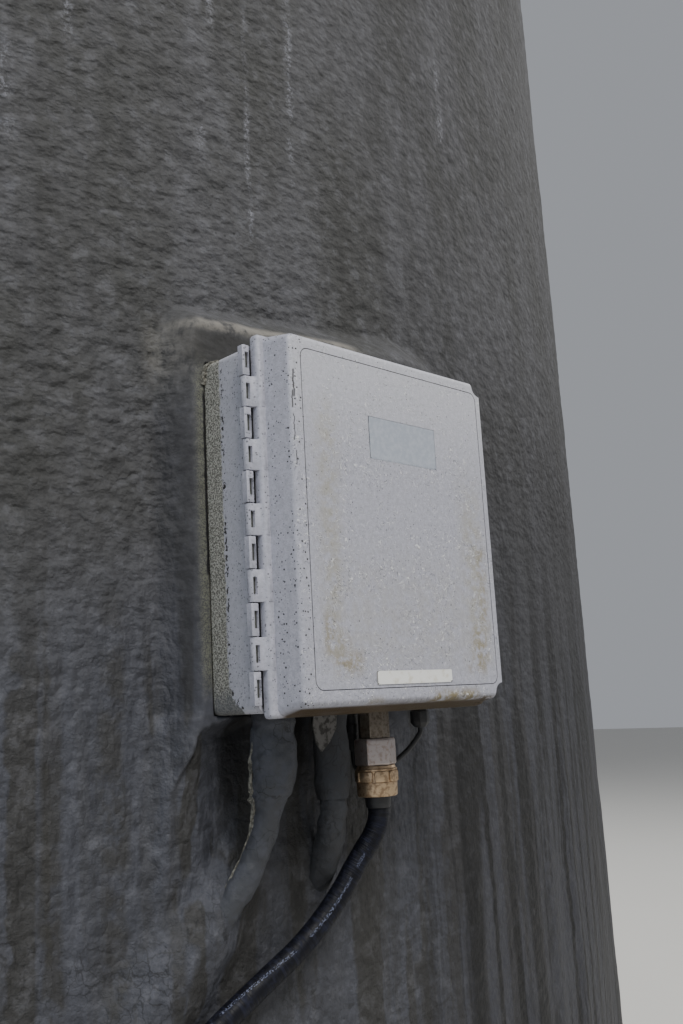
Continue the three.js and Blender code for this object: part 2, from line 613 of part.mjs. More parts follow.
function buildConduits(group) {
  // Conduits under foam, from the bottom of the box down into the wall.
  const wallBody = cylinderBody(BOX_Z - 400, BOX_Z + 100);
  const boxFoot = BOX_Z + BASE.z0 - SEAT;
  const left = [
    [-98.7, -1898.4, boxFoot],
    [-98.9, -1898.4, 1276],
    [-98.9, -1898.4, 1250],
    [-98, -1896.5, 1218],
    [-111, -1889, 1172],
    [-137, -1879, 1136],
    [-160, -1868, 1110],
    [-180, -1856, 1090],
  ];
  addMesh(group, "coated_conduit_left", cut(swept(left, CONDUIT_LEFT_R, 12, 16), wallBody), "jacket");
  const fitting = [
    [0, FITTING_MIDDLE.bottom],
    [FITTING_MIDDLE.r1, FITTING_MIDDLE.bottom],
    [FITTING_MIDDLE.r0, FITTING_MIDDLE.bottom + FITTING_MIDDLE.taper],
    [FITTING_MIDDLE.r0, boxFoot],
    [0, boxFoot],
  ];
  const { x, y, bottom, overlap } = FITTING_MIDDLE;
  const fittingSolid = solidOf(turned(fitting, 12).translate(x, y, 0));
  const middle = [
    [x, y, bottom + overlap],
    [x, y, bottom - 4],
    [-21.2, -1894.5, 1192],
    [-19, -1885, 1169],
    [-14, -1870, 1145],
    [-9, -1851, 1122],
  ];
  const middleRun = join(fittingSolid, swept(middle, CONDUIT_MIDDLE_R, 10, 10));
  addMesh(group, "coated_conduit_middle", cut(middleRun, wallBody), "jacket");
}

// Centre of the coiled cable after a turn through an angle, with the top turn first, then the flat ones.
function coilPoint(angle) {
  const flatAngle = angle - 2 * Math.PI;
  const spiral = (a) => COIL.firstR + (TURN_STEP * a) / (2 * Math.PI);
  const floor = CABLE_R + COIL.lift;
  const at = (r, z) => new THREE.Vector3(COIL.x + r * Math.cos(angle), COIL.y - r * Math.sin(angle), z);
  if (flatAngle >= 0) return at(spiral(flatAngle), floor);
  const nest = THREE.MathUtils.degToRad(120);
  const lowering = THREE.MathUtils.clamp(1 + flatAngle / (Math.PI / 2), 0, 1);
  const lean = nest * (1 - lowering);
  return at(spiral(angle) - TURN_STEP * Math.cos(lean), floor + TURN_STEP * Math.sin(lean));
}

// Free run of the cable from the cord grip down the wall to the top of the coil, chosen by hand.
function hangingRoute() {
  const exitZ = BOX_Z + NUT.bottom - SEAT - GROMMET.length;
  const exit = [BOX_X + GRIP.x, BOX_Y + GRIP.y, exitZ - SEAT];
  return [
    exit,
    [exit[0], exit[1], exit[2] - 5],
    [36.5, -1902.5, 1182],
    [31, -1899, 1168],
    [22, -1893.5, 1154],
    [11, -1888, 1137],
    [-1, -1884.5, 1120],
    [-28, -1879, 1092],
    [-59, -1875, 1069],
    [-91, -1871, 1051],
    [-121, -1868.5, 1035],
    [-152, -1866, 1018],
    [-192, -1863.5, 993],
    [-236, -1859.5, 959],
    [-278, -1854, 916],
    [-318, -1848, 862],
    [-352, -1842.5, 797],
    [-380, -1837.5, 720],
    [-402, -1833.5, 636],
    [-419, -1830.5, 548],
    [-432, -1829, 458],
    [-441, -1833, 368],
    [-448, -1845, 283],
    [-453, -1870, 208],
    [-457, -1909, 143],
    [-459, -1957, 92],
    [-460, -2008, 56],
    [-460, -2042, 40.5],
    [-460, -2064, 35.6],
  ].map((p) => new THREE.Vector3(...p));
}

function buildCable(group) {
  const entry = coilPoint(0);
  const hang = [...hangingRoute(), entry.clone().add(new THREE.Vector3(0, SEAT + 0.4, 0))];
  const hangPath = new THREE.CatmullRomCurve3(hang, false, "centripetal");
  addMesh(group, "power_cable", sweptPath(hangPath, CABLE_R, 8, 44), "rubber");

  // Tail that leaves the last flat turn along the ground and rises to the back of the plug.
  const end = coilPoint(2 * Math.PI * (1 + COIL.turns));
  const plugRise = PLUG.r - end.z + SEAT;
  const tail = TAIL_RISE.map(([run, up]) =>
    end.clone().add(new THREE.Vector3(0, run * TAIL_LENGTH, up * plugRise)),
  );
  const tailPath = new THREE.CatmullRomCurve3(tail, false, "centripetal");
  addMesh(group, "cable_tail", sweptPath(tailPath, CABLE_R, 8, 8), "rubber");

  // Outer shape of the coil, clear of the run that lands on it and of the tail that leaves it.
  const section = (grow) => {
    const inner = COIL.firstR - CABLE_R - grow;
    const outer = COIL.firstR + TURN_STEP * COIL.turns + CABLE_R + grow;
    const low = COIL.lift - grow;
    const side = low + 2 * CABLE_R + grow;
    const top = COIL.lift + 2 * CABLE_R + TURN_STEP * Math.sin(Math.PI / 3) + grow;
    return [[inner, low], [outer, low], [outer, side], [outer - COIL.shoulder, top], [inner, top]];
  };
  const ring = solidOf(turned(section(0), 32).translate(COIL.x, COIL.y, 0));
  const landing = sweptPath(hangPath, CABLE_R + SEAT, 8, 44);
  const leaving = sweptPath(tailPath, CABLE_R + SEAT, 8, 8);
  const ends = [hang.at(-1), end].map((p) => bar(p.x, p.y, p.z, CABLE_R + 2 * SEAT, 6 * SEAT, 16, true));
  addMesh(group, "cable_coil", cut(ring, landing, leaving, ...ends), "rubber");

  // Strap tied round the turns, on the side away from the tank.
  const strap = (grow, width) => {
    const shape = new THREE.Shape(section(grow).map(([r, z]) => new THREE.Vector2(-r, z)));
    const band = new THREE.ExtrudeGeometry(shape, { depth: width, bevelEnabled: false });
    return solidOf(band.rotateX(Math.PI / 2).rotateZ(Math.PI / 2).translate(COIL.x - width / 2, COIL.y, 0));
  };
  const tie = cut(strap(TIE.clear + TIE.thick, TIE.width), strap(TIE.clear, TIE.width + 10));
  addMesh(group, "cable_tie", tie, "fitting");

  // Plug lying on the ground at the tail's end, with its blades towards the tank.
  const back = tail.at(-1);
  const bodyProfile = [
    [0, SEAT],
    [CABLE_R + PLUG.neck, SEAT],
    [CABLE_R + PLUG.boot, PLUG.bootLength],
    [PLUG.r - 3, PLUG.coneEnd],
    [PLUG.r, PLUG.bodyStart],
    [PLUG.r, PLUG.length],
    [0, PLUG.length],
  ];
  const along = (geometry) => geometry.rotateX(-Math.PI / 2).translate(back.x, back.y, back.z);
  const blades = [0, 120, 240].map((turn) => {
    const blade = new THREE.BoxGeometry(BLADE.width, BLADE.thick, BLADE.length + 4);
    blade.translate(0, BLADE.offset, PLUG.length + BLADE.length / 2 - 2);
    return solidOf(along(blade.rotateZ(THREE.MathUtils.degToRad(turn))));
  });
  addMesh(group, "cable_plug", join(solidOf(along(turned(bodyProfile, 16))), ...blades), "fitting");
}

const tank = new THREE.Group();
buildTank(tank);
buildTopFittings(tank);
buildOutlet(tank);
buildMound(tank);
buildConduits(tank);
buildCable(tank);

const controlBox = new THREE.Group();
controlBox.position.set(BOX_X, BOX_Y, BOX_Z);
buildBox(controlBox);
buildGlands(controlBox);
tank.add(controlBox);

export default tank;
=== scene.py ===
"""Looks of a vertical storage tank in a sprayed foam jacket, with its heater control box and supply cable."""

import json
import logging
import math
from collections.abc import Callable, Sequence
from dataclasses import dataclass, field
from enum import Enum
from functools import reduce
from typing import ClassVar

import bpy
import numpy as np
from mathutils import Matrix, Vector

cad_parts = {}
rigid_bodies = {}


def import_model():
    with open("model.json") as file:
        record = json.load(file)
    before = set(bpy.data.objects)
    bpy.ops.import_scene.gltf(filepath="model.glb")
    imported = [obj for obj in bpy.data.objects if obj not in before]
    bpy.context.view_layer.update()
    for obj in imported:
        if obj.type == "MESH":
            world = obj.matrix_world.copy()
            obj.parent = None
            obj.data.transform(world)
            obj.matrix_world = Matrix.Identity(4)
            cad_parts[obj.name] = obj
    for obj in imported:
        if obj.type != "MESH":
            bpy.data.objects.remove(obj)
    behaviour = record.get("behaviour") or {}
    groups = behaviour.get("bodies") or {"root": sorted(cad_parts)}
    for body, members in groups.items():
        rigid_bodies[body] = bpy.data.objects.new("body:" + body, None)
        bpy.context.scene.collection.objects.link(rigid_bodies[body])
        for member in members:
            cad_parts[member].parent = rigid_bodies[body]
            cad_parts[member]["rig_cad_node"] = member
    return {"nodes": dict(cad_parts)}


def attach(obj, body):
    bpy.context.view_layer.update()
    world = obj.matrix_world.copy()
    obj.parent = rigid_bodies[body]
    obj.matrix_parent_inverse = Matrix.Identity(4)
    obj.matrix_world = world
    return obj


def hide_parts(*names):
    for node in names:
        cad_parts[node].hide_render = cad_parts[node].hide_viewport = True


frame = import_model()
LOG = logging.getLogger("storage_tank")

Pair = tuple[float, float]
Point = tuple[float, float, float]
Colour = tuple[float, float, float, float]
Station = tuple[float, float, float, float]
Test = Callable[[np.ndarray, np.ndarray], np.ndarray]
Piece = bpy.types.Object
Socket = bpy.types.NodeSocket
Given = bpy.types.bpy_prop_collection
Found = dict[str, Socket]

TANK, DOOR = "tank", "door"
MM = 0.001
# The least length that anything is divided by.
TINY = 1e-9
# The share of a direction along an axis from which it counts as running along it.
ALONG = 0.9
# Origin of the control box's own frame: the lower left corner of the line moulded into the door.
BOX = np.array([-0.13, -1.9985, 1.32])
TO_METRES = Matrix.Scale(MM, 4)
TO_BOX = Matrix.Translation(BOX) @ TO_METRES


def in_box(x: float, y: float, z: float) -> Point:
    """Gives a place in the part's frame, in metres, for one in the box's frame, in millimetres."""
    return (BOX[0] + x * MM, BOX[1] + y * MM, BOX[2] + z * MM)


def turned_by(angle: float, axis: str = "Z") -> Matrix:
    """A turn by degrees round an axis."""
    return Matrix.Rotation(math.radians(angle), 4, axis)


def grey(red: float, green: float, blue: float) -> Colour:
    """A linear colour for one given in 8-bit screen values."""
    line = [c / 12.92 if c <= 0.04045 else ((c + 0.055) / 1.055) ** 2.4 for c in (red / 255, green / 255, blue / 255)]
    return (*line, 1.0)


def smooth(value: np.ndarray) -> np.ndarray:
    """Eases a share from 0 to 1, held at both ends."""
    held = np.clip(value, 0, 1)
    return held * held * (3 - 2 * held)


def noise(points: np.ndarray, seed: int = 0) -> np.ndarray:
    """Smooth noise over a lattice of hashed values.

    Args:
        points: Places, one a row, in lattice cells.
        seed: Picks another field.

    Returns:
        A value from -1 to 1 at each place.
    """
    cell = np.floor(points).astype(np.int64)
    share = smooth(points - cell)
    total = np.zeros(points.shape[:-1])
    for corner in range(8):
        step = np.array([corner & 1, corner >> 1 & 1, corner >> 2 & 1])
        q = cell + step
        mixed = (q[..., 0] * 374761393 + q[..., 1] * 668265263 + q[..., 2] * 1440670441 + seed * 144665) & 0xFFFFFFFF
        mixed = ((mixed ^ (mixed >> 13)) * 1274126177) & 0xFFFFFFFF
        value = ((mixed ^ (mixed >> 16)) & 0xFFFF) / 32767.5 - 1
        total += value * np.prod(np.where(step, share, 1 - share), axis=-1)
    return total


def catmull_rom(points: Sequence[Point], per_span: int) -> np.ndarray:
    """Points along a smooth centripetal curve.

    Args:
        points: The points it passes through.
        per_span: Steps between two of them.

    Returns:
        Places along the curve, both ends included.
    """
    p = [np.array(q, float) for q in points]
    p = [2 * p[0] - p[1], *p, 2 * p[-1] - p[-2]]
    made = []
    for a, b, c, d in zip(p, p[1:], p[2:], p[3:]):
        t0, t1, t2 = (max(np.linalg.norm(v - u), TINY) ** 0.5 for u, v in ((a, b), (b, c), (c, d)))
        m1 = ((b - a) / t0 - (c - a) / (t0 + t1) + (c - b) / t1) * t1
        m2 = ((c - b) / t1 - (d - b) / (t1 + t2) + (d - c) / t2) * t1
        for k in range(per_span):
            s = k / per_span
            made.append(
                (2 * s**3 - 3 * s**2 + 1) * b + (s**3 - 2 * s**2 + s) * m1
                + (3 * s**2 - 2 * s**3) * c + (s**3 - s**2) * m2
            )
    return np.array([*made, p[-2]])


def stations(start: float, *spans: Pair) -> np.ndarray:
    """Stations from a start through spans.

    Args:
        start: The first station.
        *spans: The end and the step of each span.

    Returns:
        The stations, both ends included.
    """
    made = [start]
    for end, step in spans:
        count = max(1, round((end - made[-1]) / step))
        made.extend(np.linspace(made[-1], end, count + 1)[1:])
    return np.array(made)


class Element(Enum):
    """What is selected in edit mode, in the order of Blender's own three switches."""

    VERTEX = 0
    EDGE = 1
    FACE = 2


class Bench:
    """Work on one mesh at a time with Blender's own operators."""

    @staticmethod
    def focus(piece: Piece) -> None:
        """Makes a piece the only selected and active one, out of edit mode.

        Args:
            piece: The piece.
        """
        if bpy.context.object and bpy.context.object.mode != "OBJECT":
            bpy.ops.object.mode_set(mode="OBJECT")
        bpy.ops.object.select_all(action="DESELECT")
        piece.select_set(True)
        bpy.context.view_layer.objects.active = piece

    @staticmethod
    def primitive(kind: str, name: str, **options: object) -> Piece:
        """Adds a primitive of a kind, and applies its place.

        Args:
            kind: The middle word of the operator, such as cube.
            name: The piece's name.
            **options: The operator's own settings.

        Returns:
            The new piece.
        """
        bpy.ops.object.select_all(action="DESELECT")
        getattr(bpy.ops.mesh, f"primitive_{kind}_add")(**options)
        piece = bpy.context.object
        piece.name = piece.data.name = name
        bpy.ops.object.transform_apply()
        return piece

    @staticmethod
    def read(group: bpy.types.bpy_prop_collection, key: str, width: int = 3) -> np.ndarray:
        """Reads one property of many elements.

        Args:
            group: The vertices, edges, faces or loops.
            key: The property.
            width: Its numbers an element: three are a place or a way, fewer are whole numbers.

        Returns:
            A row an element, or a flat array at width 1.
        """
        made = np.empty(len(group) * width, np.float32 if width == 3 else np.int32)
        group.foreach_get(key, made)
        return made.reshape(-1, width) if width > 1 else made

    @staticmethod
    def coordinates(piece: Piece) -> np.ndarray:
        """Gives the places of a piece's vertices, one a row."""
        return Bench.read(piece.data.vertices, "co").astype(float)

    @staticmethod
    def place(piece: Piece, co: np.ndarray) -> None:
        """Puts a piece's vertices at new places."""
        piece.data.vertices.foreach_set("co", co.astype(np.float32).ravel())
        piece.data.update()

    @staticmethod
    def select(piece: Piece, element: Element, test: Test | None = None) -> None:
        """Enters edit mode with some elements of a piece selected.

        Args:
            piece: The piece.
            element: What is selected.
            test: Takes the elements' places and directions and gives the chosen ones; all without it.
        """
        Bench.focus(piece)
        bpy.context.tool_settings.mesh_select_mode = [e is element for e in Element]
        mesh = piece.data
        groups = (mesh.vertices, mesh.edges, mesh.polygons)
        for group in groups:
            group.foreach_set("select", np.full(len(group), test is None))
        if test is not None:
            group = groups[element.value]
            if element is Element.EDGE:
                a, b = (Bench.coordinates(piece)[ends] for ends in Bench.read(group, "vertices", 2).T)
                places, ways = (a + b) / 2, (b - a) / np.maximum(np.linalg.norm(b - a, axis=1), TINY)[:, None]
            else:
                places = Bench.read(group, "co" if element is Element.VERTEX else "center")
                ways = Bench.read(group, "normal")
            group.foreach_set("select", test(places, ways))
        bpy.ops.object.mode_set(mode="EDIT")

    @staticmethod
    def done(piece: Piece, weld: float = 1e-6, outward: bool = True) -> Piece:
        """Merges doubles, turns the faces outwards and leaves edit mode.

        Args:
            piece: The piece.
            weld: How near two vertices are that merge.
            outward: Whether the faces are turned.

        Returns:
            The piece.
        """
        Bench.select(piece, Element.VERTEX)
        bpy.ops.mesh.remove_doubles(threshold=weld)
        if outward:
            bpy.ops.mesh.normals_make_consistent(inside=False)
        bpy.ops.object.mode_set(mode="OBJECT")
        return piece

    @staticmethod
    def modify(piece: Piece, kind: str, **settings: object) -> Piece:
        """Adds a modifier to a piece and applies it.

        Args:
            piece: The piece.
            kind: The modifier's type.
            **settings: The modifier's own settings.

        Returns:
            The piece.
        """
        Bench.focus(piece)
        modifier = piece.modifiers.new(kind.title(), kind)
        for key, value in settings.items():
            setattr(modifier, key, value)
        bpy.ops.object.modifier_apply(modifier=modifier.name)
        return piece

    @staticmethod
    def bevel(piece: Piece, width: float, segments: int = 3, angle: float = 30) -> Piece:
        """Rounds the sharp edges of a piece.

        Args:
            piece: The piece.
            width: Size of the rounding.
            segments: Its steps.
            angle: The least angle, in degrees, at which an edge is sharp.

        Returns:
            The piece.
        """
        return Bench.modify(
            piece, "BEVEL", width=width, segments=segments, limit_method="ANGLE",
            angle_limit=math.radians(angle), miter_outer="MITER_ARC",
        )

    @staticmethod
    def round_corners(piece: Piece, offset: float, segments: int, test: Test | None = None) -> Piece:
        """Rounds some edges of a piece: those that run front to back, unless a test picks others.

        Args:
            piece: The piece.
            offset: Size of the rounding.
            segments: Its steps.
            test: Takes the edges' middles and directions and gives the chosen ones.

        Returns:
            The piece.
        """
        Bench.select(piece, Element.EDGE, test or (lambda c, w: np.abs(w[:, 1]) > ALONG))
        bpy.ops.mesh.bevel(offset=offset, segments=segments, affect="EDGES")
        bpy.ops.object.mode_set(mode="OBJECT")
        return piece

    @staticmethod
    def carve(piece: Piece, *tools: Piece, operation: str = "DIFFERENCE") -> Piece:
        """Cuts tools out of a piece, or adds them to it, and removes them.

        Args:
            piece: The piece.
            *tools: The tools.
            operation: What the Boolean modifier does.

        Returns:
            The piece.
        """
        for tool in tools:
            Bench.modify(piece, "BOOLEAN", object=tool, operation=operation, solver="EXACT")
            bpy.data.objects.remove(tool)
        return piece

    @staticmethod
    def join(name: str, pieces: Sequence[Piece]) -> Piece:
        """Joins pieces into the first one.

        Args:
            name: The name of the whole.
            pieces: The pieces.

        Returns:
            The whole.
        """
        Bench.focus(pieces[0])
        for piece in pieces:
            piece.select_set(True)
        bpy.ops.object.join()
        pieces[0].name = pieces[0].data.name = name
        return pieces[0]

    @staticmethod
    def copy(piece: Piece, matrix: Matrix) -> Piece:
        """Copies a piece with its own mesh.

        Args:
            piece: The piece.
            matrix: Moves the copy's mesh.

        Returns:
            The copy.
        """
        twin = piece.copy()
        twin.data = piece.data.copy()
        bpy.context.scene.collection.objects.link(twin)
        twin.data.transform(matrix)
        return twin

    @staticmethod
    def spread(piece: Piece, matrices: Sequence[Matrix]) -> list[Piece]:
        """Copies a piece to each of some places, and removes it.

        Args:
            piece: The piece.
            matrices: The places.

        Returns:
            The copies.
        """
        made = [Bench.copy(piece, matrix) for matrix in matrices]
        bpy.data.objects.remove(piece)
        return made

    @staticmethod
    def around(piece: Piece, count: int, start: float = 0) -> list[Piece]:
        """Spreads a piece evenly round the Z axis, from a first turn in degrees."""
        return Bench.spread(piece, [turned_by(360 * k / count + start) for k in range(count)])

    @staticmethod
    def shade(piece: Piece, angle: float = 35) -> Piece:
        """Shades a piece smooth across its softer edges.

        Args:
            piece: The piece.
            angle: The angle, in degrees, from which an edge stays sharp.

        Returns:
            The piece.
        """
        Bench.focus(piece)
        bpy.ops.object.shade_smooth_by_angle(angle=math.radians(angle))
        return piece


class Maker:
    """Shapes that more than one sub-assembly uses."""

    @staticmethod
    def block(name: str, low: Point, high: Point, round_by: float = 0, segments: int = 3) -> Piece:
        """A box between two corners.

        Args:
            name: The piece's name.
            low: Its lower corner.
            high: Its upper corner.
            round_by: Rounding of its edges.
            segments: Steps of the rounding.

        Returns:
            The piece.
        """
        centre = [(a + b) / 2 for a, b in zip(low, high)]
        size = [b - a for a, b in zip(low, high)]
        piece = Bench.primitive("cube", name, size=1, location=centre, scale=size)
        return Bench.bevel(piece, round_by, segments) if round_by else piece

    @staticmethod
    def tablet(name: str, low: Point, high: Point, corner: float, segments: int = 8) -> Piece:
        """A block between two corners, rounded as seen from the front."""
        return Bench.round_corners(Maker.block(name, low, high), corner, segments)

    @staticmethod
    def rod(name: str, radius: float, depth: float, place: Point, sides: int) -> Piece:
        """A cylinder that runs front to back.

        Args:
            name: The piece's name.
            radius: Its radius.
            depth: Its length.
            place: Its middle.
            sides: How many sides it has.

        Returns:
            The piece.
        """
        return Bench.primitive(
            "cylinder", name, vertices=sides, radius=radius, depth=depth, location=place, rotation=(math.pi / 2, 0, 0)
        )

    @staticmethod
    def slab(name: str, outline: Sequence[Point], way: Point) -> Piece:
        """An outline drawn out into a closed body.

        Args:
            name: The piece's name.
            outline: Its corners.
            way: How far it is drawn out.

        Returns:
            The piece.
        """
        piece = Bench.primitive("circle", name, vertices=len(outline), radius=1, fill_type="NGON")
        Bench.place(piece, np.array(outline))
        Bench.select(piece, Element.FACE)
        bpy.ops.mesh.extrude_region_move(TRANSFORM_OT_translate={"value": way})
        return Bench.done(piece)

    @staticmethod
    def turned(
        name: str, profile: Sequence[Pair], steps: int = 48, round_by: float = 0, place: Matrix | None = None,
        segments: int = 3,
    ) -> Piece:
        """Spins a profile round the Z axis into a closed body.

        Args:
            name: The piece's name.
            profile: Radius and height of each corner, from the axis round to the axis.
            steps: Sides of the turned body.
            round_by: Rounding of its sharp edges.
            place: Where it goes, from the Z axis at the origin.
            segments: Steps of the rounding.

        Returns:
            The piece.
        """
        piece = Bench.primitive("plane", name, size=MM)
        Bench.select(piece, Element.VERTEX)
        bpy.ops.mesh.merge(type="CENTER")
        bpy.ops.transform.translate(value=(profile[0][0], 0, profile[0][1]))
        for (r0, z0), (r1, z1) in zip(profile, profile[1:]):
            bpy.ops.mesh.extrude_region_move(TRANSFORM_OT_translate={"value": (r1 - r0, 0, z1 - z0)})
        bpy.ops.mesh.select_all(action="SELECT")
        bpy.ops.mesh.spin(steps=steps, angle=2 * math.pi, center=(0, 0, 0), axis=(0, 0, 1))
        Bench.done(piece, 1e-5)
        if round_by:
            Bench.bevel(piece, round_by, segments)
        if place is not None:
            piece.data.transform(place)
        return Bench.shade(piece)

    @staticmethod
    def sheet(name: str, rows: np.ndarray, cols: np.ndarray, shape: Test) -> tuple[Piece, np.ndarray]:
        """A grid primitive laid over a surface.

        Args:
            name: The piece's name.
            rows: Stations along the grid's Y.
            cols: Stations along the grid's X.
            shape: Gives places for arrays of row and column stations.

        Returns:
            The piece, and for each vertex its row and column.
        """
        piece = Bench.primitive("grid", name, x_subdivisions=len(cols) - 1, y_subdivisions=len(rows) - 1, size=2)
        co = Bench.coordinates(piece)
        index = np.rint((co[:, [1, 0]] + 1) / 2 * [len(rows) - 1, len(cols) - 1]).astype(int)
        Bench.place(piece, shape(rows[index[:, 0]], cols[index[:, 1]]))
        return piece, index

    @staticmethod
    def tube(name: str, path: np.ndarray, radius: Test | float, sides: int = 16) -> Piece:
        """A round section carried along a path, with its own UV map: U round it and V along it.

        Args:
            name: The piece's name.
            path: Points of the centreline.
            radius: The radius, or a function of the share along the path and the angle round it.
            sides: Sides of the section.

        Returns:
            The closed piece.
        """
        path = np.asarray(path, float)
        ahead = np.gradient(path, axis=0)
        ahead /= np.linalg.norm(ahead, axis=1)[:, None]
        side = np.empty_like(path)
        side[0] = np.cross(ahead[0], [0, 1, 0.2])
        side[0] /= np.linalg.norm(side[0])
        for k in range(1, len(path)):
            side[k] = side[k - 1] - ahead[k] * (side[k - 1] @ ahead[k])
            side[k] /= np.linalg.norm(side[k])
        up = np.cross(ahead, side)

        def shape(row: np.ndarray, turn: np.ndarray) -> np.ndarray:
            """Gives places on the tube.

            Args:
                row: Numbers of points along the path.
                turn: Shares of a turn round it.

            Returns:
                The places.
            """
            k = row.astype(int)
            angle = turn * 2 * math.pi
            size = radius(k / (len(path) - 1), angle) if callable(radius) else np.full(len(k), radius)
            out = side[k] * np.cos(angle)[:, None] + up[k] * np.sin(angle)[:, None]
            return path[k] + out * size[:, None]

        piece, _ = Maker.sheet(name, np.arange(len(path)), np.linspace(0, 1, sides + 1), shape)
        Bench.select(piece, Element.VERTEX)
        bpy.ops.mesh.remove_doubles(threshold=1e-6)
        bpy.ops.mesh.select_all(action="SELECT")
        bpy.ops.mesh.fill_holes(sides=0)
        return Bench.shade(Bench.done(piece), 50)


@dataclass(frozen=True)
class Run:
    """An upright run: its X, its lower and upper ends and its half width, in metres."""

    x: float
    low: float
    high: float
    width: float


@dataclass(frozen=True)
class Patch:
    """An upright patch: its ends across and up, how soft it ends each way, in metres, and its strength."""

    x0: float
    x1: float
    z0: float
    z1: float
    soft_x: float
    soft_z: float
    strength: float = 1


class Graph:
    """Adds nodes to a tree and wires them."""

    def __init__(self, tree: bpy.types.NodeTree) -> None:
        """Keeps the tree that the nodes go into."""
        self.tree = tree

    def fill(self, target: Socket, value: object) -> None:
        """Wires an input to a socket, or sets its value.

        Args:
            target: The input.
            value: The socket or the value.
        """
        if isinstance(value, Socket):
            self.tree.links.new(value, target)
        else:
            target.default_value = value

    def node(self, kind: str, inputs: dict[str | int, object] | None = None, **settings: object) -> bpy.types.Node:
        """Adds a node.

        Args:
            kind: Its type, without the word ShaderNode.
            inputs: A value or a socket for each input, by name or number.
            **settings: The node's own settings.

        Returns:
            The node.
        """
        made = self.tree.nodes.new(f"ShaderNode{kind}")
        for key, value in settings.items():
            setattr(made, key, value)
        for key, value in (inputs or {}).items():
            self.fill(made.inputs[key], value)
        return made

    def math(self, operation: str, a: object, b: object = 0.0, clamp: bool = False) -> Socket:
        """One step of arithmetic."""
        return self.node("Math", {0: a, 1: b}, operation=operation, use_clamp=clamp).outputs[0]

    def vector(self, operation: str, a: object, b: object) -> Socket:
        """One step of arithmetic on vectors."""
        return self.node("VectorMath", {0: a, 1: b}, operation=operation).outputs[0]

    def add(self, *values: object) -> Socket:
        """Values added up."""
        return reduce(lambda a, b: self.math("ADD", a, b), values)

    def less(self, a: object, b: object, clamp: bool = False) -> Socket:
        """A difference, kept from 0 to 1 on demand."""
        return self.math("SUBTRACT", a, b, clamp)

    def off(self, value: object, middle: object) -> Socket:
        """How far a value is from a middle one."""
        return self.math("ABSOLUTE", self.less(value, middle))

    def swing(self, value: object, size: float) -> Socket:
        """A noise value turned into a sway round 0."""
        return self.all_of(self.less(value, 0.5), size)

    def ease(self, value: object, low: float, high: float) -> Socket:
        """A smooth step from 0 at one value to 1 at another, which may be the lower."""
        inputs = {"Value": value, "From Min": low, "From Max": high}
        return self.node("MapRange", inputs, interpolation_type="SMOOTHSTEP").outputs[0]

    def within(self, value: object, low: float, high: float, soft: float) -> Socket:
        """A mask that is 1 between two values, with soft edges."""
        return self.all_of(self.ease(value, low - soft, low + soft), self.ease(value, high + soft, high - soft))

    def all_of(self, *masks: object) -> Socket:
        """Masks or numbers multiplied together."""
        return reduce(lambda a, b: self.math("MULTIPLY", a, b), masks)

    def any_of(self, *masks: object) -> Socket:
        """The greatest of some masks."""
        return reduce(lambda a, b: self.math("MAXIMUM", a, b), masks)

    def mix(self, share: object, a: object, b: object) -> Socket:
        """One colour turned into another by a share."""
        return self.node("Mix", {0: share, 6: a, 7: b}, data_type="RGBA").outputs[2]

    def split(self, vector: Socket) -> Sequence[Socket]:
        """The three parts of a vector."""
        return tuple(self.node("SeparateXYZ", {0: vector}).outputs)

    def mapped(self, vector: Socket, scale: Point = (1, 1, 1), move: Point = (0, 0, 0)) -> Socket:
        """A vector scaled and moved."""
        return self.node("Mapping", {"Vector": vector, "Scale": scale, "Location": move}).outputs[0]

    def noise(self, vector: Socket, scale: float, detail: float = 3, rough: float = 0.55) -> Socket:
        """A noise value from about 0.3 to 0.7."""
        inputs = {"Vector": vector, "Scale": scale, "Detail": detail, "Roughness": rough}
        return self.node("TexNoise", inputs).outputs["Fac"]

    def bump(self, height: Socket, distance: float, strength: object = 1) -> Socket:
        """A normal bent by a height in metres times a distance."""
        return self.node("Bump", {"Height": height, "Distance": distance, "Strength": strength}).outputs[0]

    def group(self, kind: str, vector: Socket, **values: float) -> bpy.types.bpy_prop_collection:
        """Places a shared pattern.

        Args:
            kind: Its name in Patterns.
            vector: Where it is drawn.
            **values: Its other inputs.

        Returns:
            Its outputs.
        """
        made = self.tree.nodes.new("ShaderNodeGroup")
        made.node_tree = Patterns.tree(kind)
        for key, value in {"Vector": vector, **values}.items():
            self.fill(made.inputs[key], value)
        return made.outputs


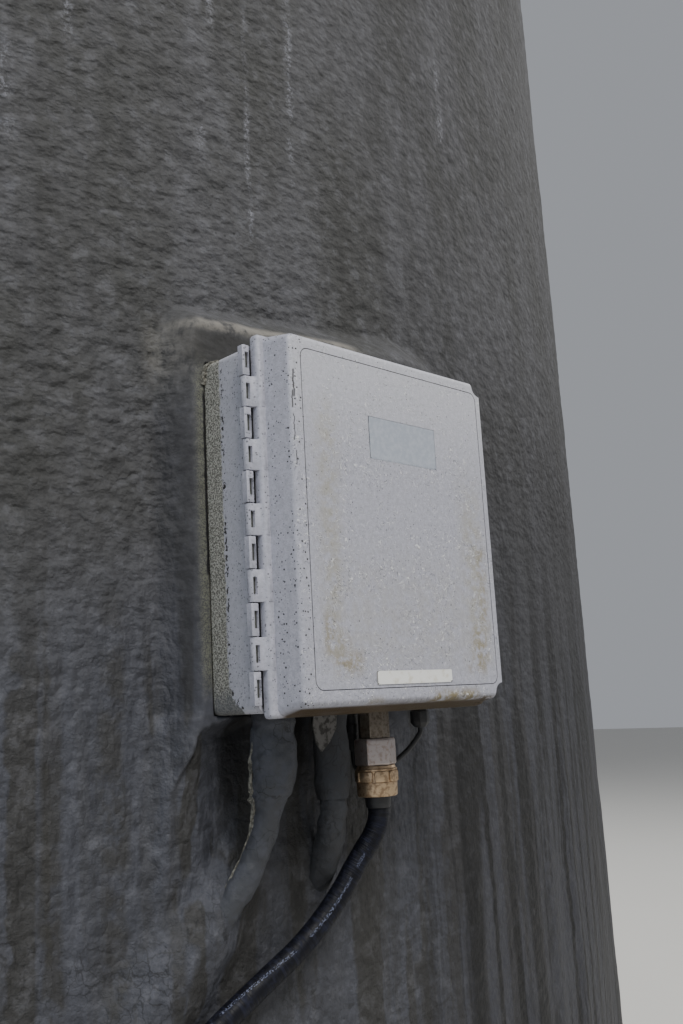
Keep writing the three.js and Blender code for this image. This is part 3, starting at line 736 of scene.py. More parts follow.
class Canvas(Graph):
    """A material being painted: its graph, the place on the piece, and the colour so far."""

    def __init__(self, name: str, base: Point | None = None) -> None:
        """Starts the material.

        Args:
            name: Its name.
            base: Where the finish's own frame starts, if not at the part's origin.
        """
        self.material = bpy.data.materials.new(name)
        self.material.use_nodes = True
        super().__init__(self.material.node_tree)
        self.place = self.node("TexCoord").outputs["Object"]
        if base is not None:
            self.place = self.mapped(self.place, move=[-part for part in base])
        self.x, self.y, self.z = self.split(self.place)
        self.colour: Socket | Colour = grey(0, 0, 0)

    def coat(self, colour: object, *masks: object) -> None:
        """Paints a colour where all the masks are."""
        self.colour = self.mix(self.all_of(*masks), self.colour, colour)

    def patch(self, patch: Patch, z: Socket | None = None) -> Socket:
        """A mask of a patch, on another height if one is given."""
        up = self.within(self.z if z is None else z, patch.z0, patch.z1, patch.soft_z)
        return self.all_of(self.within(self.x, patch.x0, patch.x1, patch.soft_x), up, patch.strength)

    def runs(self, runs: Sequence[Run], sway: Socket, core: float, soft: float) -> Socket:
        """A mask of some runs.

        Args:
            runs: The runs.
            sway: Moves them to and fro.
            core: The share of a run's width that it fills whole.
            soft: How softly its ends fade, in metres.

        Returns:
            The mask.
        """
        x = self.add(self.x, sway)
        found = []
        for run in runs:
            near = self.ease(self.off(x, run.x), run.width, run.width * core)
            found.append(self.all_of(near, self.within(self.z, run.low, run.high, soft)))
        return self.any_of(*found)

    def finish(self, **sockets: object) -> bpy.types.Material:
        """Wires or sets the shader's inputs.

        Args:
            **sockets: A value or a socket for each input; an underscore in the name stands for a space.

        Returns:
            The finished material.
        """
        shader = self.tree.nodes["Principled BSDF"]
        for key, value in {"Base_Color": self.colour, **sockets}.items():
            self.fill(shader.inputs[key.replace("_", " ")], value)
        return self.material


class Patterns:
    """Node groups that more than one finish uses, each built once."""

    inputs: ClassVar[dict[str, dict[str, float]]] = {
        "specks": {"Scale": 300.0, "Size": 0.2, "Share": 0.2},
        "fibres": {"Scale": 70.0, "Width": 0.012, "Level": 0.55},
        "crazing": {"Scale": 40.0, "Width": 0.04},
        "runs": {"Scale": 30.0, "Stretch": 0.05, "Width": 0.012},
        "grain": {"Scale": 400.0, "Ragged": 0.6},
    }
    _made: ClassVar[dict[str, bpy.types.NodeTree]] = {}

    @classmethod
    def tree(cls, kind: str) -> bpy.types.NodeTree:
        """Gives a pattern's node group, built at its first use.

        Args:
            kind: Its name, which is also that of the method that draws it.

        Returns:
            The node group, with an input Vector and those in the table above.
        """
        if kind in cls._made:
            return cls._made[kind]
        tree = cls._made[kind] = bpy.data.node_groups.new(kind, "ShaderNodeTree")
        tree.interface.new_socket("Vector", in_out="INPUT", socket_type="NodeSocketVector")
        for key, value in cls.inputs[kind].items():
            tree.interface.new_socket(key, in_out="INPUT", socket_type="NodeSocketFloat").default_value = value
        found = getattr(cls, kind)(Graph(tree), tree.nodes.new("NodeGroupInput").outputs)
        for key in found:
            tree.interface.new_socket(key, in_out="OUTPUT", socket_type="NodeSocketFloat")
        result = tree.nodes.new("NodeGroupOutput")
        for key, socket in found.items():
            tree.links.new(socket, result.inputs[key])
        return tree

    @staticmethod
    def specks(g: Graph, given: Given) -> Found:
        """Draws scattered dots.

        Args:
            g: The group's graph.
            given: Its inputs. Size is a share of a cell, and Share that of the cells filled.

        Returns:
            The dots, as Mask.
        """
        cells = g.node("TexVoronoi", {"Vector": given["Vector"], "Scale": given["Scale"]}).outputs
        chance = g.split(cells["Color"])
        size = g.all_of(given["Size"], g.add(g.all_of(chance[1], 0.9), 0.35))
        ragged = g.add(cells["Distance"], g.swing(g.noise(given["Vector"], 900, 1), 0.16))
        filled = g.math("LESS_THAN", chance[0], given["Share"])
        return {"Mask": g.all_of(filled, g.math("LESS_THAN", ragged, size))}

    @staticmethod
    def fibres(g: Graph, given: Given) -> Found:
        """Draws short bent strands in three layers.

        Args:
            g: The group's graph.
            given: Its inputs. Width is a share of a cell, and a greater Level leaves fewer strands.

        Returns:
            The strands, as Mask.
        """
        found = []
        for k in range(3):
            moved = g.mapped(given["Vector"], move=(k * 0.37, k * 0.19, k * 0.51))
            drawn = g.node("VectorMath", {0: moved, "Scale": given["Scale"]}, operation="SCALE").outputs[0]
            off = g.off(g.noise(drawn, 1, 1, 0.5), 0.5)
            gate = g.ease(g.less(g.noise(drawn, 1.9, 0), given["Level"]), 0.0, 0.05)
            found.append(g.all_of(g.ease(g.math("DIVIDE", off, given["Width"]), 1.0, 0.4), gate))
        return {"Mask": g.any_of(*found)}

    @staticmethod
    def crazing(g: Graph, given: Given) -> Found:
        """Draws a network of fine cracks.

        Args:
            g: The group's graph.
            given: Its inputs. Width is a share of a cell.

        Returns:
            The cracks, as Mask.
        """
        drift = g.node("TexNoise", {"Vector": given["Vector"], "Scale": 45.0, "Detail": 3.0}).outputs["Color"]
        moved = g.vector("ADD", given["Vector"], g.vector("MULTIPLY", drift, (0.03, 0.03, 0.03)))
        cells = g.node("TexVoronoi", {"Vector": moved, "Scale": given["Scale"]}, feature="DISTANCE_TO_EDGE")
        return {"Mask": g.ease(g.math("DIVIDE", cells.outputs["Distance"], given["Width"]), 1.0, 0.3)}

    @staticmethod
    def runs(g: Graph, given: Given) -> Found:
        """Draws runs down a wall.

        Args:
            g: The group's graph.
            given: Its inputs. Scale is that across the runs, and Stretch its share along them.

        Returns:
            Thin runs, as Line, and broad soft ones, as Band.
        """
        across = given["Scale"]
        scale = g.node("CombineXYZ", {0: across, 1: across, 2: g.all_of(across, given["Stretch"])}).outputs[0]
        drift = g.swing(g.noise(g.mapped(given["Vector"], (9, 9, 34)), 1, 2), 0.011)
        sway = g.node("CombineXYZ", {0: drift, 1: drift, 2: 0.0}).outputs[0]
        drawn = g.vector("MULTIPLY", g.vector("ADD", given["Vector"], sway), scale)
        off = g.off(g.noise(drawn, 0.8, 0.6), 0.5)
        line = g.ease(g.math("DIVIDE", off, given["Width"]), 1.0, 0.45)
        return {"Line": line, "Band": g.ease(g.noise(drawn, 1, 2.6, 0.5), 0.52, 0.64)}

    @staticmethod
    def grain(g: Graph, given: Given) -> Found:
        """Fine uneven grain as a height."""
        inputs = {"Vector": given["Vector"], "Scale": given["Scale"], "Detail": 4.0, "Roughness": given["Ragged"]}
        return {"Height": g.node("TexNoise", inputs).outputs["Fac"]}


class Finish:
    """A surface finish: makes its material once, and dresses pieces with it."""

    name = "finish"
    slot = ""
    _made: ClassVar[dict[str, bpy.types.Material]] = {}

    def paint(self) -> bpy.types.Material:
        """Builds the material."""
        raise NotImplementedError

    def material(self) -> bpy.types.Material:
        """Gives the material, built at its first use.

        Returns:
            The material.
        """
        if self.name not in self._made:
            self._made[self.name] = self.paint()
        return self._made[self.name]

    def dress(self, piece: Piece, *extra: "Finish") -> Piece:
        """Puts the material on a piece.

        Args:
            piece: The piece.
            *extra: Finishes for its next material places, which keeps the ones it has.

        Returns:
            The piece.
        """
        if not extra:
            piece.data.materials.clear()
        for k, finish in enumerate((self, *extra)):
            if k < len(piece.data.materials):
                piece.data.materials[k] = finish.material()
            else:
                piece.data.materials.append(finish.material())
        return piece


@dataclass(frozen=True)
class FoamCoating(Finish):
    """Grey coating over sprayed foam: olive and rippled above, bluish, crazed and streaked below."""

    name: str = "foam_coating"
    slot: str = "foam_jacket"
    upper: Colour = grey(75, 75, 77)
    upper_dark: Colour = grey(62, 62, 61)
    lower: Colour = grey(62, 64, 72)
    olive: Colour = grey(45, 44, 41)
    # Paint darkened by water, also used for painted shade.
    wet_and_shade: Colour = grey(34, 34, 39)
    # Colour of cracks and rivulets, also used for painted shade.
    crack_and_shade: Colour = grey(16, 16, 17)
    mineral: Colour = grey(140, 141, 149)
    # Pale dusting, also used as a painted highlight along the ledge.
    dust_and_highlight: Colour = grey(130, 126, 118)
    bare: Colour = grey(106, 107, 93)
    mineral_runs: tuple[Run, ...] = (
        Run(-0.1125, 2.06, 2.2, 0.008), Run(-0.064, 1.83, 2.13, 0.0065), Run(0.005, 1.9, 2.35, 0.01),
        Run(0.34, 2.12, 2.27, 0.012), Run(-0.128, 1.93, 1.98, 0.012), Run(-0.351, 1.89, 1.98, 0.016),
        Run(-0.286, 2.02, 2.12, 0.012),
    )
    dark_runs: tuple[Run, ...] = (
        Run(-0.246, 0.4, 1.42, 0.018), Run(-0.303, 0.6, 1.3, 0.014), Run(-0.194, 0.8, 1.14, 0.01),
        Run(-0.347, 0.5, 1.1, 0.012),
    )
    pits: tuple[Point, ...] = (
        (-0.1126, -1.8506, 1.8366), (-0.1005, -1.8513, 1.8364), (-0.0879, -1.8519, 1.8424), (-0.1437, -1.8805, 1.7053),
    )
    bank: Patch = Patch(-0.186, 0.2, 1.28, 1.72, 0.008, 0.014, 0.6)
    # The ledge's crest and its left end carry dusting and a painted highlight.
    ledge: Patch = Patch(-0.178, 0.06, 1.712, 1.726, 0.03, 0.005)
    shoulder: Patch = Patch(-0.205, -0.165, 1.65, 1.71, 0.012, 0.02, 0.32)
    over: Patch = Patch(-0.175, 0.17, 1.663, 1.7, 0.015, 0.008, 0.72)
    under: Patch = Patch(-0.11, 0.1, 0.98, 1.3, 0.03, 0.05, 0.3)
    # Painted shade beside the box, on its left.
    shade_patches: tuple[Patch, ...] = (
        Patch(-0.3, -0.17, 1.28, 1.56, 0.04, 0.06, 0.07), Patch(-0.2, -0.168, 1.3, 1.62, 0.008, 0.03, 0.44),
    )
    # Painted shade in hollows under the box, beside the conduits.
    hollows: tuple[Patch, ...] = (
        Patch(-0.132, -0.1, 1.205, 1.33, 0.009, 0.02, 0.75), Patch(-0.046, -0.02, 1.236, 1.33, 0.009, 0.02, 0.85),
    )

    def paint(self) -> bpy.types.Material:
        """Builds the material.

        Returns:
            The material.
        """
        c = Canvas(self.name)
        front = c.ease(c.y, -0.9, -1.5)
        low = c.add(c.z, c.swing(c.noise(c.place, 2.3, 1), 0.8))
        lower = c.ease(low, 1.66, 1.2)
        # Where the paint on the right is darker, from water and painted shade.
        wet_and_shade = c.all_of(c.ease(c.x, 0.1, 0.28), c.ease(c.z, 1.85, 1.4), front)
        mottle = c.noise(c.place, 55, 3.5, 0.7)
        tone = c.noise(c.mapped(c.place, (9, 9, 3)), 1, 3, 0.62)
        c.colour = c.mix(c.ease(tone, 0.36, 0.64), self.upper_dark, self.upper)
        c.coat(self.lower, lower, 0.85)
        self._washed(c, low, front, wet_and_shade)
        crazed = c.group("crazing", c.place, Scale=64.0, Width=0.05)["Mask"]
        patchy = c.ease(c.noise(c.place, 9, 2), 0.45, 0.6)
        c.coat(self.crack_and_shade, crazed, lower, patchy, c.ease(c.x, 0.1, -0.08), c.ease(c.z, 1.3, 1.15), 0.55)
        mottled = c.less(1.0, c.all_of(wet_and_shade, 0.65))
        c.coat(self.crack_and_shade, c.ease(mottle, 0.5, 0.34), mottled, 0.3)
        c.coat(self.mineral, c.ease(mottle, 0.5, 0.68), mottled, 0.12)
        self._run_down(c, front)
        self._by_the_box(c, front, mottle)
        for pit in self.pits:
            away = c.node("VectorMath", {0: c.place, 1: pit}, operation="DISTANCE").outputs["Value"]
            c.coat(self.crack_and_shade, c.ease(away, 0.0032, 0.0018))
        calm = c.any_of(c.all_of(c.ease(c.x, -0.25, 0.35), c.ease(c.z, 1.5, 1.8), 0.4), c.all_of(wet_and_shade, 0.5))
        strength = c.less(c.less(0.9, calm), c.all_of(c.patch(self.bank), front), True)
        normal = c.bump(self._relief(c, lower), 0.0095, strength)
        return c.finish(Roughness=c.less(0.84, c.all_of(lower, 0.2)), Normal=normal, Specular_IOR_Level=0.4)

    def _relief(self, c: Canvas, lower: Socket) -> Socket:
        """Draws the lumps, folds, scales and peel of the coating.

        Args:
            c: The canvas.
            lower: A mask of the lower wall.

        Returns:
            Their height.
        """
        lumps = c.noise(c.mapped(c.place, (54, 54, 86)), 1, 1.8, 0.5)
        folds = c.noise(c.mapped(c.place, (38, 38, 11)), 1, 3, 0.6)
        scales = c.off(c.noise(c.mapped(c.place, (50, 50, 44)), 1, 1, 0.5), 0.5)
        peel = c.group("grain", c.place, Scale=240.0, Ragged=0.66)["Height"]
        rounded = c.less(1.0, c.all_of(c.ease(c.z, 1.6, 1.2), c.ease(c.x, 0.2, 0.0), 0.7))
        return c.add(
            c.all_of(lumps, rounded), c.all_of(folds, c.add(0.12, c.all_of(lower, 0.8))),
            c.all_of(scales, c.ease(c.z, 1.9, 1.6), 0.8), c.all_of(peel, 0.24),
        )

    def _washed(self, c: Canvas, low: Socket, front: Socket, wet_and_shade: Socket) -> None:
        """Adds fine runs of dirt, darker paint on the right from water and painted shade together, and dark rivulets in
        it.

        Args:
            c: The canvas.
            low: The height, unsteady.
            front: A mask of the tank's front.
            wet_and_shade: A mask of the darker paint on the right.
        """
        runs = c.group("runs", c.place, Scale=24.0, Stretch=0.045, Width=0.085)
        fine = c.group("runs", c.place, Scale=46.0, Stretch=0.045, Width=0.06)
        c.coat(self.olive, c.ease(runs["Band"], 0.1, 0.75), c.add(0.15, c.all_of(c.ease(low, 1.7, 1.15), 0.68)))
        dripped = c.any_of(c.all_of(c.ease(c.z, 1.6, 1.1), 0.35), c.all_of(c.ease(c.x, 0.0, 0.2), 0.26))
        c.coat(self.olive, fine["Band"], dripped)
        # Darker towards the right: water in the coating and painted shade; the third coat, furthest round, is painted
        # shade alone.
        c.coat(self.wet_and_shade, c.ease(c.x, 0.12, 0.3), c.ease(c.z, 1.98, 1.55), front, 0.42)
        c.coat(self.wet_and_shade, c.ease(c.x, 0.02, 0.32), front, 0.24)
        c.coat(self.wet_and_shade, c.ease(c.x, 0.4, 0.8), c.ease(c.z, 2.4, 1.4), front, 0.3)
        broken = c.ease(c.noise(c.place, 7, 2), 0.42, 0.56)
        rivulet = c.any_of(c.all_of(fine["Line"], broken, 0.7), runs["Line"])
        c.coat(self.crack_and_shade, rivulet, wet_and_shade, c.add(0.35, c.all_of(c.ease(c.z, 1.5, 1.25), 0.65)))

    def _run_down(self, c: Canvas, front: Socket) -> None:
        """Adds the broad dark runs left of the box and below it, and the broken white runs of minerals.

        Args:
            c: The canvas.
            front: A mask of the tank's front.
        """
        sway = c.swing(c.noise(c.mapped(c.place, (30, 30, 9)), 1, 3, 0.65), 0.032)
        broken = c.ease(c.noise(c.place, 30, 3, 0.65), 0.34, 0.54)
        c.coat(self.olive, c.runs(self.dark_runs, sway, 0.4, 0.1), broken, front, 0.72)
        sway = c.swing(c.noise(c.mapped(c.place, (0.1, 0.1, 1)), 11, 3), 0.012)
        broken = c.all_of(c.ease(c.noise(c.place, 230, 3, 0.75), 0.4, 0.7), c.ease(c.noise(c.place, 24, 3), 0.36, 0.6))
        c.coat(self.mineral, c.runs(self.mineral_runs, sway, 0.0, 0.04), broken, front, 0.75)

    def _by_the_box(self, c: Canvas, front: Socket, mottle: Socket) -> None:
        """Adds a dusting with a painted highlight on the ledge over the box, painted shade on its left, speckled foam
        and a cracked seam along its side, painted shade in two hollow spots under it, and a darker olive patch there.

        Args:
            c: The canvas.
            front: A mask of the tank's front.
            mottle: The noise that breaks up the dusting and its painted highlight.
        """
        ragged = c.swing(c.noise(c.place, 110, 3, 0.7), 0.014)
        sloped = c.add(c.less(c.z, c.all_of(c.x, 0.074)), c.all_of(ragged, 0.6))
        # Dusting with a painted highlight on the ledge's crest and its left end.
        dusty_and_lit = c.any_of(c.patch(self.ledge, sloped), c.patch(self.shoulder))
        c.coat(self.dust_and_highlight, dusty_and_lit, c.ease(mottle, 0.3, 0.56), front, 0.78)
        # Painted shade on the bank left of the box.
        c.coat(self.wet_and_shade, c.any_of(*map(c.patch, self.shade_patches)), front)
        c.coat(self.olive, c.patch(self.over), front)
        side = c.all_of(c.ease(c.x, -0.15, -0.158), front)
        strip = c.all_of(c.ease(c.add(c.x, c.all_of(ragged, 0.6)), -0.1755, -0.167), c.within(c.z, 1.33, 1.655, 0.02))
        grains = c.ease(c.noise(c.place, 640, 3, 0.65), 0.38, 0.6)
        c.coat(c.mix(grains, self.upper_dark, self.bare), strip, side, 0.75)
        line = c.ease(c.add(c.x, c.all_of(ragged, 0.3)), -0.1638, -0.1632)
        c.coat(self.crack_and_shade, line, side, c.within(c.z, 1.44, 1.63, 0.004))
        # Painted shade in the hollows under the box.
        for hollow in self.hollows:
            c.coat(self.crack_and_shade, c.patch(hollow), front)
        c.coat(self.olive, c.patch(self.under), front, c.ease(c.noise(c.place, 14, 2), 0.3, 0.6))


def stain(x0: float, x1: float, z0: float, z1: float, soft: float, strength: float) -> Patch:
    """A patch on the door, from millimetres in the box's frame, as soft across as up."""
    return Patch(x0 * MM, x1 * MM, z0 * MM, z1 * MM, soft * MM, soft * MM, strength)


@dataclass(frozen=True)
class Fibreglass(Finish):
    """Weathered pale grey fibreglass with chopped strands and painted light and shade on them, painted light on the
    upper face and the base, specks, stains and overspray.
    """

    name: str = "fibreglass"
    slot: str = "fibreglass"
    base: Colour = grey(169, 169, 180)
    pale: Colour = grey(216, 216, 217)
    dull: Colour = grey(155, 156, 165)
    speck: Colour = grey(38, 35, 32)
    brown: Colour = grey(128, 117, 84)
    haze: Colour = grey(146, 141, 116)
    # Grimy brown, also used as painted shade under the door.
    grime_and_shade: Colour = grey(68, 54, 32)
    overspray: Colour = grey(168, 167, 158)
    crust_dark: Colour = grey(88, 87, 80)
    coating: Colour = grey(88, 90, 94)
    stains: tuple[Patch, ...] = (
        stain(16, 26, 34, 70, 8, 0.8), stain(26, 62, 16, 34, 9, 0.75), stain(30, 48, 36, 50, 8, 0.5),
        stain(232, 254, 14, 60, 9, 0.7), stain(222, 232, 14, 24, 5, 0.7), stain(250, 262, 60, 150, 6, 0.5),
        stain(160, 236, -20, -5, 7, 1.0), stain(70, 90, -16, -9, 5, 0.6),
    )
    cracks: tuple[Run, ...] = (
        Run(-0.0098, 0.279, 0.307, 0.0011), Run(-0.0114, 0.268, 0.286, 0.0008), Run(-0.0108, 0.236, 0.262, 0.0006),
        Run(-0.0098, 0.212, 0.226, 0.0006),
    )

    def paint(self) -> bpy.types.Material:
        """Builds the material.

        Returns:
            The material.
        """
        c = Canvas(self.name, BOX)
        face = c.ease(c.y, 0.004, 0.001)
        patchy = c.ease(c.noise(c.place, 24, 2), 0.42, 0.6)
        shown = c.add(c.all_of(face, c.add(c.all_of(patchy, 0.56), 0.16)), 0.06)
        c.colour = c.mix(c.ease(c.noise(c.place, 210, 4, 0.7), 0.36, 0.64), self.dull, self.base)
        self._stained(c, face)
        strands = c.group("fibres", c.place, Scale=104.0, Width=0.013, Level=0.54)["Mask"]
        # The pale strands are fibres with their highlight painted in; the second, darker set, in the coating's colour,
        # is painted shade beside them.
        c.coat(self.pale, strands, shown)
        moved = c.mapped(c.place, move=(1.3, 0, 0.7))
        c.coat(self.coating, c.group("fibres", moved, Scale=130.0, Width=0.014, Level=0.56)["Mask"], shown, 0.9)
        lit = c.any_of(c.all_of(face, c.ease(c.z, 0.2, 0.34), 0.26), c.all_of(c.ease(c.y, 0.044, 0.05), 0.16))
        c.coat(self.pale, lit)
        self._specked(c)
        sprayed, grains = self._oversprayed(c)
        skin = c.group("grain", c.place, Scale=420.0, Ragged=0.55)["Height"]
        height = c.add(c.all_of(skin, 0.6), c.all_of(strands, shown, 0.8), c.all_of(grains, sprayed, 2.2))
        return c.finish(Roughness=c.add(0.5, c.all_of(sprayed, 0.3)), Normal=c.bump(height, 0.0008, 0.7))

    def _stained(self, c: Canvas, face: Socket) -> None:
        """Adds yellow haze in upright bands, brown stains on the face, and grimy staining with painted shade under the
        front edge.

        Args:
            c: The canvas.
            face: A mask of the door's face.
        """
        fuzz = c.noise(c.place, 75, 5, 0.72)
        bands = c.any_of(
            c.within(c.x, 0.016, 0.042, 0.014), c.all_of(c.within(c.x, 0.226, 0.262, 0.014), c.ease(c.z, 0.27, 0.15)),
            c.all_of(c.within(c.x, 0.03, 0.24, 0.02), c.ease(c.z, 0.17, 0.08), 0.4),
        )
        c.coat(self.haze, bands, face, c.within(c.z, 0.02, 0.28, 0.02), c.ease(fuzz, 0.36, 0.6), 0.55)
        c.coat(self.brown, c.any_of(*map(c.patch, self.stains)), c.ease(fuzz, 0.4, 0.58))
        lip = c.all_of(c.ease(c.z, -0.008, -0.0165), c.within(c.x, 0.08, 0.262, 0.03), c.ease(c.y, 0.03, 0.02), 0.62)
        rust = c.all_of(c.ease(c.z, -0.0105, -0.014), c.within(c.x, 0.238, 0.262, 0.005), c.ease(fuzz, 0.42, 0.5))
        under = c.all_of(c.ease(c.z, -0.0142, -0.0165), c.ease(c.x, -0.016, -0.006), c.ease(c.y, 0.0445, 0.0435))
        cloudy = c.add(c.all_of(c.noise(c.place, 26, 4, 0.6), 0.4), 0.8)
        # Grimy brown and painted shade together on the bottom lip, its right corner and the door's underside.
        c.coat(self.grime_and_shade, c.any_of(c.all_of(under, cloudy), c.all_of(lip, c.ease(fuzz, 0.36, 0.5)), rust))

    def _specked(self, c: Canvas) -> None:
        """Adds grit all over, dots on the hinge side, and hair cracks by the door's front left edge.

        Args:
            c: The canvas.
        """
        hinge_side = c.any_of(
            c.all_of(c.within(c.x, -0.026, 0.002, 0.003), c.ease(c.y, 0.034, 0.028)),
            c.all_of(c.ease(c.y, 0.004, 0.01), c.ease(c.y, 0.112, 0.05), 0.55),
        )
        crowd = c.ease(c.noise(c.place, 46, 3), 0.34, 0.52)
        grit = c.group("specks", c.place, Scale=430.0, Size=0.22, Share=0.12)["Mask"]
        c.coat(self.speck, grit, c.add(0.25, c.all_of(crowd, 0.6)))
        dots = c.group("specks", c.place, Scale=330.0, Size=0.28, Share=0.5)["Mask"]
        c.coat(self.speck, dots, hinge_side, crowd, 1.2)
        sway = c.swing(c.noise(c.mapped(c.place, (0, 0, 1)), 100, 3, 0.6), 0.0045)
        c.coat(self.speck, c.runs(self.cracks, sway, 0.4, 0.001), 0.9)

    def _oversprayed(self, c: Canvas) -> tuple[Socket, Socket]:
        """Adds the crust of sprayed foam and coating on the box's left side, with dark blots along its edge.

        Args:
            c: The canvas.

        Returns:
            A mask of the crust, and its grain.
        """
        foot = c.add(c.z, c.swing(c.noise(c.place, 90, 4, 0.7), 0.06))
        ragged = c.add(
            c.y, c.swing(c.noise(c.place, 280, 4, 0.75), 0.014), c.all_of(c.ease(foot, 0.01, -0.018), 0.018)
        )
        side = c.ease(c.x, 0.0, -0.02)
        sprayed = c.all_of(c.ease(ragged, 0.0895, 0.0915), side)
        grains = c.noise(c.place, 560, 2.5, 0.6)
        crust = c.mix(c.ease(grains, 0.4, 0.6), self.crust_dark, self.overspray)
        c.coat(c.mix(c.all_of(c.ease(foot, 0.014, -0.01), 0.7), crust, self.coating), sprayed)
        blots = c.ease(c.noise(c.place, 250, 1), 0.56, 0.6)
        c.coat(self.speck, c.within(ragged, 0.0855, 0.0895, 0.001), side, blots)
        return sprayed, grains


@dataclass(frozen=True)
class Plain(Finish):
    """A finish of one colour with cloudy wear, grain and a dusting of pits in the worn colour."""

    name: str = "plain"
    slot: str = ""
    base: Colour = grey(60, 60, 60)
    worn: Colour = grey(90, 90, 90)
    metal: float = 0
    rough: float = 0.5
    patch_scale: float = 40
    patch_low: float = 0.48
    patch_high: float = 0.66
    grain: float = 500
    depth: float = 0.0004
    crazed: float = 0
    craze_colour: Colour = grey(18, 18, 19)

    def paint(self) -> bpy.types.Material:
        """Builds the material.

        Returns:
            The material.
        """
        c = Canvas(self.name)
        patch = c.ease(c.noise(c.place, self.patch_scale, 5, 0.62), self.patch_low, self.patch_high)
        pits = c.group("specks", c.place, Scale=self.grain * 0.6, Size=0.25, Share=0.12)["Mask"]
        c.colour = c.mix(c.all_of(patch, 0.85), self.base, self.worn)
        c.coat(self.worn, pits, 0.35)
        height = c.group("grain", c.place, Scale=self.grain, Ragged=0.65)["Height"]
        if self.crazed:
            cracks = c.group("crazing", c.place, Scale=58.0, Width=0.035)["Mask"]
            seen = c.all_of(cracks, c.ease(c.noise(c.place, 26, 2), 0.44, 0.56), self.crazed)
            c.coat(self.craze_colour, seen)
            height = c.less(height, c.all_of(seen, 0.5))
        rough = c.add(self.rough, c.all_of(patch, 0.2))
        return c.finish(Roughness=rough, Normal=c.bump(height, self.depth, 0.5), Metallic=self.metal)


@dataclass(frozen=True)
class CableJacket(Finish):
    """Black rubber cable with fine rings along it, a bluish dusting that also paints a sheen, painted glints on the
    rings, and a broken pale line of print marks.
    """

    name: str = "cable_jacket"
    slot: str = "rubber"
    base: Colour = grey(13, 14, 21)
    # Bluish dusting, also used as a painted sheen and painted glints.
    dust_and_highlight: Colour = grey(36, 39, 55)
    mark: Colour = grey(104, 110, 130)
    mark_turn: float = 0.345
    span: float = 4.9

    def paint(self) -> bpy.types.Material:
        """Builds the material, drawn on the UV map: a turn across, and the span along it.

        Returns:
            The material.
        """
        c = Canvas(self.name)
        turn, along, _ = c.split(c.node("TexCoord").outputs["UV"])
        along = c.all_of(along, self.span)
        dusty_and_lit = c.noise(c.place, 120, 5, 0.65)
        # A bluish mottle of dusting and painted sheen.
        c.colour = c.mix(c.all_of(c.ease(dusty_and_lit, 0.5, 0.68), 0.5), self.base, self.dust_and_highlight)
        strip = c.ease(c.off(turn, c.add(self.mark_turn, c.all_of(c.ease(along, 0.26, 0.5), 0.15))), 0.025, 0.018)
        flat = c.node("CombineXYZ", {0: c.all_of(turn, 0.072), 1: along, 2: 0.0}).outputs[0]
        ticks = c.math("GREATER_THAN", c.noise(c.mapped(flat, (820, 430, 1)), 1, 2, 0.5), 0.53)
        breaks = c.ease(c.noise(c.mapped(flat, (0, 26, 0)), 1, 1), 0.4, 0.43)
        c.coat(self.mark, strip, ticks, breaks, c.ease(along, 0.15, 0.17), 0.8)
        rings = c.noise(c.mapped(flat, (24, 230, 1)), 1, 2, 0.5)
        # Painted glints on the rings' crests.
        c.coat(self.dust_and_highlight, c.ease(rings, 0.5, 0.64), 0.4)
        rough = c.add(0.5, c.all_of(c.ease(dusty_and_lit, 0.45, 0.7), 0.3))
        return c.finish(Roughness=rough, Normal=c.bump(rings, 0.0022, 0.7), Specular_IOR_Level=0.2)


FOAM = FoamCoating()
FIBREGLASS = Fibreglass()
GROOVE = Plain("moulded_line", "fibreglass", grey(74, 74, 76), grey(118, 117, 114), rough=0.8)
SHADOW = Plain("slot_inside", "fibreglass", grey(24, 23, 22), grey(50, 47, 41), rough=0.9)
STEEL = Plain(
    "dull_steel", "zinc_steel", grey(176, 167, 164), grey(154, 138, 128), 0.8, 0.4, 190, 0.46, 0.68, 900, 0.0005,
)
PANEL_STEEL = Plain("panel_steel", "zinc_steel", grey(190, 190, 188), grey(150, 146, 138), 1, 0.36, 18, 0.46, 0.66, 700)
BRONZE = Plain("bronze", "bronze", grey(194, 170, 140), grey(146, 122, 96), 0.9, 0.4, 210, 0.44, 0.62, 800, 0.0006)
NECK_STEEL = Plain("neck_steel", "zinc_steel", grey(122, 114, 104), grey(88, 78, 66), 0.85, 0.42, 260, 0.42, 0.68, 900)
RUBBER = Plain("black_rubber", "rubber", grey(25, 26, 29), grey(50, 50, 51), 0, 0.5, 160, 0.5, 0.7, 800)
POLY = Plain("polyethylene", "polyethylene", grey(46, 48, 50), grey(74, 76, 78), 0, 0.5, 12, 0.46, 0.7, 260, 0.0008)
PLASTIC = Plain("satin_black", "dark_plastic", grey(40, 41, 43), grey(74, 73, 70), 0, 0.42, 26, 0.5, 0.72, 420, 0.0005)
PLATE_BLUE = Plain(
    "faded_plate", "label", grey(152, 159, 170), grey(168, 173, 182), 0, 0.5, 190, 0.4, 0.66, 900, 0.0002,
)
# Painted shadow along the plate's left and lower edges.
PLATE_SHADOW = Plain("plate_shadow", "label", grey(34, 36, 40), grey(110, 116, 122), 0, 0.5, 160, 0.5, 0.7, 900)
TAPE_WHITE = Plain("white_tape", "tape", grey(226, 226, 222), grey(204, 200, 186), 0, 0.4, 90, 0.5, 0.7, 900, 0.0002)
